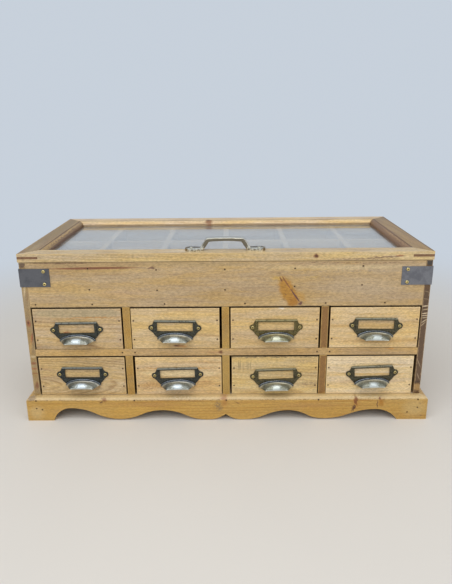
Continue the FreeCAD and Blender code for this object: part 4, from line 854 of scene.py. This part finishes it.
handleLook = {
    # the bright colour, for rubbed brass and for the painted highlight on the bar's top
    "rubbed": (0.76, 0.72, 0.60),
    "front": (0.215, 0.185, 0.13),
    "behind": (0.10, 0.078, 0.05),
    "blotch": (0.15, 0.115, 0.06),
    "tips": (0.20, 0.13, 0.045),
    "footTop": (3.9, 4.6),          # mm above its foot, where the feet pass into the legs
    "tip": (5, 2.5),                # mm from its ends, where they turn brassy
    "soft": 0.8,                    # mm taken off its edges
}


def handleFinish():
    # plated brass: rubbed bright, with a painted highlight where it faces up, brown on its sides and behind,
    # brassy at its ends
    finish = Finish("oldBrass")
    where = finish.position()
    low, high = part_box("lid_handle")
    middle = (low + high) / 2
    x, y, z = finish.split(where)
    up = finish.carried("up", out="Fac")
    cloud = finish.noise(where, 150, 4, 0.6)
    speck = finish.noise(where, 900, 2)
    blotch = finish.noise(where, 330, 3, 0.6)
    foot = 1 - finish.fade(z, *(low.z + part * mm for part in handleLook["footTop"]))
    # painted highlight: the bar paler where it faces up, as well as rubbed
    barRubbedAndLit = finish.fade(up + (cloud - 0.5) * 0.7, 0.35, 0.75)
    barRubbedAndLit = barRubbedAndLit * (1 - finish.fade(y, middle.y + 1 * mm, middle.y + 3 * mm))
    footBright = 1 - finish.fade(y + (cloud - 0.5) * (6 * mm), middle.y - 3 * mm, middle.y - 0.5 * mm)
    # rubbed brass, with the painted highlight on the bar's top
    rubbed = barRubbedAndLit + (footBright - barRubbedAndLit) * foot
    toBack = finish.fade(y, middle.y - 2 * mm, middle.y + 2 * mm)
    dull = finish.mix(toBack, handleLook["front"], handleLook["behind"])
    colour = finish.mix(rubbed, dull, handleLook["rubbed"])
    colour = finish.mix(finish.fade(blotch, 0.5, 0.62) * (0.35 + foot * 0.45), colour, handleLook["blotch"])
    fromMiddle = (x - middle.x).math("ABSOLUTE") + (cloud - 0.5) * (6 * mm)
    tip = finish.fade(fromMiddle, *(high.x - middle.x - part * mm for part in handleLook["tip"]))
    colour = finish.mix(tip * 0.85, colour, handleLook["tips"])
    colour = finish.scaled(colour, 0.8 + speck * 0.4)
    finish.set(Base_Color=colour, Metallic=0.85 + rubbed * 0.15,
               Roughness=0.42 - rubbed * 0.16 + (speck - 0.5) * 0.1)
    finish.relief(cloud * 0.7 + speck * 0.3, 0.12, 0.15 * mm)
    return finish.material


# The pulls' colours, on a dark pull and on a brassy one
bronzeLook = {
    "plate": ((0.068, 0.076, 0.072), (0.21, 0.17, 0.068)),
    "plateSpots": ((0.032, 0.036, 0.036), (0.08, 0.066, 0.032)),
    "topBarHighlight": ((0.36, 0.38, 0.35), (0.46, 0.41, 0.22)),
    "cup": ((0.54, 0.55, 0.49), (0.53, 0.50, 0.30)),
    "cupSpots": ((0.34, 0.35, 0.29), (0.34, 0.31, 0.16)),
    "paintedHighlight": ((0.94, 0.95, 0.90), (0.90, 0.86, 0.62)),
    "bellyReflection": ((0.60, 0.66, 0.70), (0.60, 0.60, 0.45)),
}


def bronzeFinish(name):
    # dark bronze plate, some of it more brassy, and a cup rubbed bare where fingers go, with painted
    # highlights, painted shade and a painted reflection on it
    finish = Finish(name)
    own = finish.carried("own")
    seed = finish.carried("seed", out="Fac")
    brassy = finish.carried("brassy", out="Fac")
    tones = {part: finish.mix(brassy, dark, yellow) for part, (dark, yellow) in bronzeLook.items()}
    x, y, z = finish.split(own)
    where = finish.sum(own, finish.add("CombineXYZ", {}, {0: seed, 1: seed * 2.3, 2: seed * 3.7}))
    cloud = finish.noise(where, 170, 4, 0.6)
    blotch = finish.noise(where, 420, 3, 0.6)
    speck = finish.noise(where, 1500, 2)
    spread = finish.fade(blotch, 0.35, 0.7)
    out = 0 - y

    # where the cup is, where it is rubbed bare, and the ridge round it
    high = (z - pull["rim"] * mm) / (11 * mm)
    cup = 1 - finish.fade(z, -7.9 * mm, -7.0 * mm)
    bulge = out - high * high * (2.8 * mm) + (cloud - 0.5) * (2 * mm)
    bare = cup * finish.fade(bulge, 2.4 * mm, 3.6 * mm)
    ridge = cup * finish.fade(out, 2.3 * mm, 2.8 * mm) * (1 - bare)

    plate = finish.mix(spread, tones["plate"], tones["plateSpots"])
    # painted highlight: a paler line along the top bar of the window frame
    topBarHighlight = finish.fade(z, 10.1 * mm, 10.9 * mm) * finish.fade(cloud, 0.25, 0.5)
    plate = finish.mix(topBarHighlight * 0.9, plate, tones["topBarHighlight"])
    # the ridge round the cup in a paler bluish tint: rubbed metal, with a painted highlight along it
    plate = finish.mix(ridge * 0.9, plate, (0.31, 0.34, 0.375))

    silver = finish.mix(spread, tones["cup"], tones["cupSpots"])
    silver = finish.mix(finish.fade(cloud, 0.5, 0.7) * 0.5, silver, (0.20, 0.21, 0.175))
    # painted shade: the cup darker low down where it faces out, and towards its left side
    silver = finish.scaled(silver, 1 - finish.fade(out, 7.5 * mm, 12.5 * mm) * 0.52)
    silver = finish.scaled(silver, 1 - finish.fade(0 - x, 6 * mm, 18 * mm) * 0.3)
    # painted highlight: a bright, less metallic band high on the cup, stronger towards its right
    depth = out + (cloud - 0.5) * (3 * mm)
    paintedHighlight = bare * finish.fade(depth, 3.2 * mm, 4.4 * mm) * (1 - finish.fade(depth, 5.2 * mm, 8.5 * mm))
    paintedHighlight = paintedHighlight * (0.45 + finish.fade(x, -11 * mm, 2 * mm) * 0.55)
    paintedHighlight = paintedHighlight * (1 - finish.fade(x, 13 * mm, 19 * mm) * 0.5)
    silver = finish.mix(paintedHighlight, silver, tones["paintedHighlight"])
    # painted reflection: a pale bluish patch low in the middle of the cup
    besideMiddle = x.math("ABSOLUTE") + (blotch - 0.5) * (12 * mm)
    bellyReflection = finish.fade(out, 8.5 * mm, 10.5 * mm) * (1 - finish.fade(besideMiddle, 3 * mm, 9 * mm))
    silver = finish.mix(bellyReflection * 0.75, silver, tones["bellyReflection"])

    colour = finish.mix(bare, plate, silver)
    # painted highlight along the cup's lip
    colour = finish.mix(finish.fade(out, 15.2 * mm, 15.8 * mm) * 0.6, colour, (0.72, 0.70, 0.60))
    colour = finish.scaled(colour, 0.88 + speck * 0.24)
    finish.set(Base_Color=colour, Metallic=0.92 + bare * 0.08 - paintedHighlight * 0.7,
               Roughness=0.36 + bare * 0.07 - ridge * 0.1 + (blotch - 0.5) * 0.26)
    finish.relief(cloud * 0.5 + blotch * 0.35 + speck * 0.15, 0.18, 0.2 * mm)
    return finish.material


# Label pulls: a pressed plate with a window and ears, and a stepped cup, at the pull's own screw line

pull = {
    "rim": -18.2,                   # mm from the screw line, as all its heights are
    "cupTop": -7.55,
    "plate": 1.2,
    "bars": 1.5,                    # how far the window's bars stand out from the plate
    "soft": 0.35,
    "arcPoints": 56,
    "wall": 0.9,
    # how far out from the plate, half width and height of the cup at each step, in mm
    "steps": ((-0.4, 27.4, 11.0), (0.9, 27.3, 10.9), (1.6, 26.9, 10.6), (1.8, 26.4, 10.25), (1.5, 25.9, 9.9),
              (0.9, 25.6, 9.6), (1.2, 25.4, 9.45), (3.0, 24.8, 9.3), (5.6, 23.3, 8.9), (8.2, 21.7, 8.1),
              (10.6, 20.1, 6.9), (12.6, 18.7, 5.2), (14.0, 17.6, 3.2), (14.6, 17.1, 1.3), (14.8, 16.9, 0.05)),
}
# Where each pull was put on: across and up from the middle of its drawer front in mm, and its tilt in degrees
pullPlaces = {
    1: (-1.8, -0.5, 0.6),
    2: (-0.7, 1.5, -0.8),
    3: (1.9, 1.9, 0.3),
    4: (2.2, 3.5, -0.8),
    5: (0.3, 3.7, -0.3),
    6: (-1.7, 2.0, 1.5),
    7: (1.7, -0.4, 1.8),
    8: (3.5, 3.7, 2.1),
}

# How brassy each pull's dark finish is
pullTones = {1: 0.12, 2: 0.18, 3: 0.95, 4: 0.42, 5: 0.0, 6: 0.08, 7: 0.5, 8: 0.32}


def pullFrame(number):
    # the pull's own frame on its drawer
    low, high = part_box(f"drawer_{number}_front")
    across, up, tilt = pullPlaces[number]
    at = Vector(((low.x + high.x) / 2 + across * mm, low.y, (low.z + high.z) / 2 + up * mm))
    return Matrix.Translation(at) @ Matrix.Rotation(math.radians(-tilt), 4, "Y")


def makeCup():
    rim = pull["rim"] * mm
    steps = [[size * mm for size in step] for step in pull["steps"]]
    out, half, high = steps[0]
    start = (0, -pull["plate"] * mm - out, rim)
    bpy.ops.object.select_all(action="DESELECT")
    bpy.ops.mesh.primitive_circle_add(vertices=pull["arcPoints"], radius=1, location=(0, 0, 0),
                                      rotation=(math.radians(90), 0, 0))
    cup = bpy.context.object
    cup.name = "cup"
    bpy.ops.object.transform_apply(location=True, rotation=True, scale=True)
    shape = editing(cup)
    bpy.ops.mesh.select_mode(type="VERT")
    for vertex in shape.verts:
        vertex.select_set(vertex.co.z < -0.0001)                  # the lower half goes
    bpy.ops.mesh.delete(type="VERT")
    bpy.ops.mesh.select_all(action="SELECT")
    bpy.ops.transform.resize(value=(half, 1, high), center_override=(0, 0, 0))
    bpy.ops.transform.translate(value=start)
    for (lastOut, lastHalf, lastHigh), (out, half, high) in zip(steps, steps[1:]):
        bpy.ops.mesh.extrude_region_move(TRANSFORM_OT_translate={"value": (0, lastOut - out, 0)})
        bpy.ops.transform.resize(value=(half / lastHalf, 1, high / lastHigh), center_override=(0, 0, rim))
    bpy.ops.mesh.select_all(action="SELECT")
    bpy.ops.mesh.remove_doubles(threshold=0.01 * mm)
    bpy.ops.mesh.normals_make_consistent(inside=False)
    doneEditing()
    # the open shell's outside is the side away from the rim's middle
    middle = Vector((0, 0, rim))
    outward = sum((face.center - middle).dot(face.normal) * face.area for face in cup.data.polygons)
    if outward < 0:
        editing(cup)
        bpy.ops.mesh.select_all(action="SELECT")
        bpy.ops.mesh.flip_normals()
        doneEditing()
    reshape(cup, "SOLIDIFY", thickness=pull["wall"] * mm, offset=-1)
    reshape(cup, "SUBSURF", levels=1, render_levels=1)
    return cup


def makePlate():
    # the first pull's own shape without its cup, set level at the origin
    plate = nodeCopy("drawer_1_pull", "plate")
    plate.data.transform(pullFrame(1).inverted())
    front = -pull["plate"] * mm
    shape = editing(plate)
    bpy.ops.mesh.select_mode(type="FACE")
    for face in shape.faces:
        middle = face.calc_center_median()
        beforeBars = min(vertex.co.y for vertex in face.verts) < front - pull["bars"] * mm
        onCup = middle.y < front - 0.02 * mm and middle.z < pull["cupTop"] * mm
        if beforeBars or onCup:
            face.select_set(True)
    bpy.ops.mesh.delete(type="FACE")
    bpy.ops.mesh.select_mode(type="EDGE")
    shape = bmesh.from_edit_mesh(plate.data)
    for edge in shape.edges:
        edge.select_set(edge.is_boundary)
    bpy.ops.mesh.edge_face_add()
    doneEditing()
    soften(plate, pull["soft"] * mm, 0.9 * mm)
    return plate


bronze = bronzeFinish("bronze")
pattern = joined([makePlate(), makeCup()], "pullPattern")
smooth(pattern, 50)
carry(pattern, "own", "FLOAT_VECTOR", [vertex.co for vertex in pattern.data.vertices])
carry(pattern, "seed", "FLOAT", [0.0] * len(pattern.data.vertices))
carry(pattern, "brassy", "FLOAT", [0.0] * len(pattern.data.vertices))
for number in pullPlaces:
    mesh = pattern.data.copy()
    mesh.transform(pullFrame(number))
    mesh.attributes["seed"].data.foreach_set("value", [number * 0.83] * len(mesh.vertices))
    mesh.attributes["brassy"].data.foreach_set("value", [pullTones[number]] * len(mesh.vertices))
    dress(place(f"pull{number}", mesh), bronze, [f"drawer_{number}_pull"])
bpy.data.objects.remove(pattern)
print("pulls")

# Screws: a domed brass head with a cross recess, wherever a fixing has a head

screw = {
    "radius": 2.45,                 # mm
    "shank": 2.3,                   # what lies further out than this belongs to the head
    "height": 1.25,
    "dome": 0.9,
    "recess": (2.8, 0.75, 1.4),     # length, width and depth of each arm's cutter
}


def makeScrewHead():
    radius = screw["radius"] * mm
    height = screw["height"] * mm
    bpy.ops.object.select_all(action="DESELECT")
    middle = (0, 0, height / 2)
    bpy.ops.mesh.primitive_cylinder_add(vertices=28, radius=radius, depth=height, location=middle)
    head = bpy.context.object
    bpy.ops.object.transform_apply(location=True, rotation=True, scale=True)
    shape = editing(head)
    bpy.ops.mesh.select_mode(type="EDGE")
    for edge in shape.edges:
        edge.select_set(all(vertex.co.z > height * 0.9 for vertex in edge.verts))
    bpy.ops.mesh.bevel(offset=screw["dome"] * mm, segments=5)
    doneEditing()
    cutters = []
    for turn in (0, 90):
        bpy.ops.object.select_all(action="DESELECT")
        bpy.ops.mesh.primitive_cube_add(size=1, location=(0, 0, height), rotation=(0, 0, math.radians(turn)))
        cutter = bpy.context.object
        cutter.scale = [size * mm for size in screw["recess"]]
        bpy.ops.object.transform_apply(location=True, rotation=True, scale=True)
        cutters.append(cutter)
    for cutter in cutters:
        reshape(head, "BOOLEAN", operation="DIFFERENCE", solver="EXACT", object=cutter)
        bpy.data.objects.remove(cutter)
    smooth(head, 28)
    carry(head, "own", "FLOAT_VECTOR", [vertex.co for vertex in head.data.vertices])
    return head


headPattern = makeScrewHead()


def fixings(node, name, finish):
    # a new head on each screw of the node, its shank kept, and its nails as they are
    parts = []
    for count, part in enumerate(loosePieces(nodeCopy(node, name))):
        low, high = limits(part)
        size = high - low
        axis = max(range(3), key=lambda index: size[index])
        others = [index for index in range(3) if index != axis]
        parts.append(part)
        if max(size[index] for index in others) < 3 * mm:         # a nail
            carry(part, "own", "FLOAT_VECTOR", [(0, 0, 0)] * len(part.data.vertices))
            continue
        middle = (low + high) / 2
        crown = [vertex.co for vertex in part.data.vertices
                 if max(abs(vertex.co[index] - middle[index]) for index in others) > screw["shank"] * mm]
        seat = middle.copy()
        seat[axis] = sum(co[axis] for co in crown) / len(crown)
        away = Vector((0, 0, 0))
        away[axis] = 1 if seat[axis] > middle[axis] else -1
        shape = editing(part)                                     # the plain head comes off
        bpy.ops.mesh.select_mode(type="VERT")
        for vertex in shape.verts:
            vertex.select_set((vertex.co - seat).dot(away) > 0.2 * mm)
        bpy.ops.mesh.delete(type="VERT")
        doneEditing()
        carry(part, "own", "FLOAT_VECTOR", [(0, 0, 0)] * len(part.data.vertices))
        head = place("head", headPattern.data.copy())
        turn = Matrix.Rotation(count * 1.9 + len(name), 4, "Z")
        facing = away.to_track_quat("Z", "Y").to_matrix().to_4x4()
        head.data.transform(Matrix.Translation(seat) @ facing @ turn)
        parts.append(head)
    piece = joined(parts, name)
    return dress(piece, finish, [node])


def fixingFinish():
    # brass screw heads in front of the drawer's face, and dark nails behind it
    finish = Finish("drawerFixings")
    where = finish.position()
    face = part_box("drawer_1_front")[0].y
    brass = 1 - finish.fade(finish.split(where)[1], face - 0.3 * mm, face - 0.1 * mm)
    cloud = finish.noise(where, 500, 3, 0.6)
    worn = finish.mix(finish.fade(cloud, 0.4, 0.65) * 0.5, (0.62, 0.50, 0.22), (0.22, 0.16, 0.06))
    worn = shadedRecess(finish, worn)
    finish.set(Base_Color=finish.mix(brass, (0.016, 0.012, 0.01), worn), Metallic=0.5 + brass * 0.5,
               Roughness=0.5 - brass * 0.16 + (cloud - 0.5) * 0.2)
    finish.relief(cloud, 0.2, 0.1 * mm)
    return finish.material


drawerFixings = fixingFinish()
fixings("case_screws", "caseScrews", screwBrass)
fixings("lid_screws", "lidScrews", screwNickel)
for number in drawerLooks:
    fixings(f"drawer_{number}_fixings", f"drawerFixings{number}", drawerFixings)
bpy.data.objects.remove(headPattern)
print("screws")

# Brackets and handle: the solids' own shapes with softened edges

brackets = nodeCopy("corner_brackets", "cornerBrackets")
soften(brackets, 0.3 * mm)
smooth(brackets)
dress(brackets, slateMetal, ["corner_brackets"])

handle = nodeCopy("lid_handle", "lidHandle")
soften(handle, handleLook["soft"] * mm, 0.5 * mm, 3)
smooth(handle, 50)
# which way each point faces up, for the painted highlight on the bar
carry(handle, "up", "FLOAT", [vertex.normal.z for vertex in handle.data.vertices])
dress(handle, handleFinish(), ["lid_handle"])
print("handle and brackets")


glassLook = {
    "film": (9, 26, 1),             # how its smears are drawn out
    "dust": (0.07, 0.09),           # everywhere, and in smears
    "gloss": (0.045, 1.17),         # seen straight on, and added at a low angle
}


def glassFinish():
    # clear glass that mirrors the wall at a low angle, with a faint film of dust and smears
    finish = Finish("clearGlass")
    where = finish.position()
    film = finish.noise(finish.stretch(where, glassLook["film"]), 1, 3, 0.6)
    facing = finish.add("LayerWeight", {}, {"Blend": 0.5}, out="Facing")
    gloss = glassLook["gloss"][0] + facing ** 5 * glassLook["gloss"][1]
    clear = finish.add("BsdfTransparent", {}, {"Color": (0.95, 0.965, 0.965, 1)})
    mirror = finish.add("BsdfGlossy", {}, {"Color": (0.97, 0.985, 1.0, 1), "Roughness": 0.035})
    dust = finish.add("BsdfDiffuse", {}, {"Color": (0.80, 0.79, 0.76, 1)})
    pane = finish.add("MixShader", {}, {0: gloss, 1: clear, 2: mirror})
    dusty = glassLook["dust"][0] + finish.fade(film, 0.35, 0.7) * glassLook["dust"][1]
    both = finish.add("MixShader", {}, {0: dusty, 1: pane, 2: dust})
    feed(finish.tree, finish.output.inputs["Surface"], both)
    finish.tree.nodes.remove(finish.surface.socket.node)
    return finish.material


# Small pieces that keep their CAD shape
kept = {
    "lid_glass": glassFinish(),
    "case_nails": nailSteel,
    "glazing_points": hingeSteel,
    "hinge_pins": hingeSteel,
    "hinge_case_leaves": hingeSteel,
    "hinge_lid_leaves": hingeSteel,
}
for node, finish in kept.items():
    for socket in frame["nodes"][node].material_slots:
        socket.material = finish
print("glass, hinges and nails")

# Floor, world, lamps and camera

studio = {
    "floorSize": 60,
    "aim": (0, 0, 0.12),            # where the lamps point
    "floor": (0.72, 0.70, 0.665),
    "backdrop": (0.575, 0.635, 0.71),
    "sky": (0.52, 0.512, 0.50),     # the light that the room gives, where it isn't seen or mirrored
    "floorEnds": (0.45, 1.2),       # where the floor passes into the backdrop
    "key": {"at": (-0.8, -1.75, 2.05), "size": 2.4, "power": 35},
    "fill": {"at": (1.5, -1.5, 1.3), "size": 1.6, "power": 10},
    "top": {"at": (0.15, -0.8, 1.9), "size": 0.45, "power": 3.2},
}


def floorFinish():
    finish = Finish("paleFloor")
    where = finish.position()
    distance = finish.length(where)
    cloud = finish.fade(finish.noise(where, 3, 3), 0.3, 0.7)
    near = studio["floor"]
    finish.set(Base_Color=finish.mix(cloud, near, tinted(near, (0.985, 0.985, 0.985))), Roughness=0.75,
               Specular_IOR_Level=0.25)
    far = finish.add("Emission", {}, {"Color": (*studio["backdrop"], 1), "Strength": 1.0})
    away = finish.fade(distance, *studio["floorEnds"])
    blend = finish.add("MixShader", {}, {0: away, 1: finish.surface, 2: far})
    feed(finish.tree, finish.output.inputs["Surface"], blend)
    return finish.material


bpy.ops.object.select_all(action="DESELECT")
bpy.ops.mesh.primitive_plane_add(size=studio["floorSize"], location=(0, 0, 0))
floor = bpy.context.object
floor.name = "floor"
floor.data.materials.append(floorFinish())

world = bpy.data.worlds.new("studio")
world.use_nodes = True
tree = world.node_tree
ray = tree.nodes.new("ShaderNodeLightPath")
seen = Wire(tree, ray.outputs["Is Camera Ray"]) + Wire(tree, ray.outputs["Is Glossy Ray"])
seen = seen.math("ADD", Wire(tree, ray.outputs["Is Transmission Ray"]), clamp=True)
tint = tree.nodes.new("ShaderNodeMix")
tint.data_type = "RGBA"
feed(tree, tint.inputs[0], seen)
feed(tree, tint.inputs[6], studio["sky"])
feed(tree, tint.inputs[7], studio["backdrop"])
feed(tree, tree.nodes["Background"].inputs["Color"], Wire(tree, tint.outputs[2]))
bpy.context.scene.world = world

for name in ("key", "fill", "top"):
    lamp = studio[name]
    bpy.ops.object.light_add(type="AREA", location=lamp["at"])
    light = bpy.context.object
    light.name = name
    light.data.size = lamp["size"]
    light.data.energy = lamp["power"]
    light.rotation_euler = (Vector(studio["aim"]) - light.location).to_track_quat("-Z", "Y").to_euler()

eye = {
    "at": (0.0099, -0.91664, 0.45333),
    "down": 17.554,                 # degrees
    "turn": 0.645,
    "roll": -0.564,
    "focal": 558.82,                # pixels, on a frame 452 wide and 584 high
    "frameHigh": 584,
    "shift": -0.63,                 # pixels
    "sensor": 36,                   # mm
}
roll = Matrix.Rotation(math.radians(eye["roll"]), 3, "Z")
down = Matrix.Rotation(math.radians(eye["down"]), 3, "X")
turn = Matrix.Rotation(math.radians(-eye["turn"]), 3, "Z")
turned = roll @ down @ Matrix(((1, 0, 0), (0, 0, -1), (0, 1, 0))) @ turn
axes = Matrix((turned[0], -turned[1], -turned[2])).transposed()
cameraData = bpy.data.cameras.new("camera")
cameraData.sensor_width = eye["sensor"]
cameraData.lens = eye["focal"] / eye["frameHigh"] * eye["sensor"]
cameraData.shift_y = eye["shift"] / eye["frameHigh"]
cameraData.clip_start = 0.05
cameraData.clip_end = 100
camera = bpy.data.objects.new("camera", cameraData)
bpy.context.scene.collection.objects.link(camera)
camera.matrix_world = Matrix.Translation(eye["at"]) @ axes.to_4x4()
bpy.context.scene.camera = camera
bpy.context.scene.view_settings.view_transform = "Standard"
print("studio")
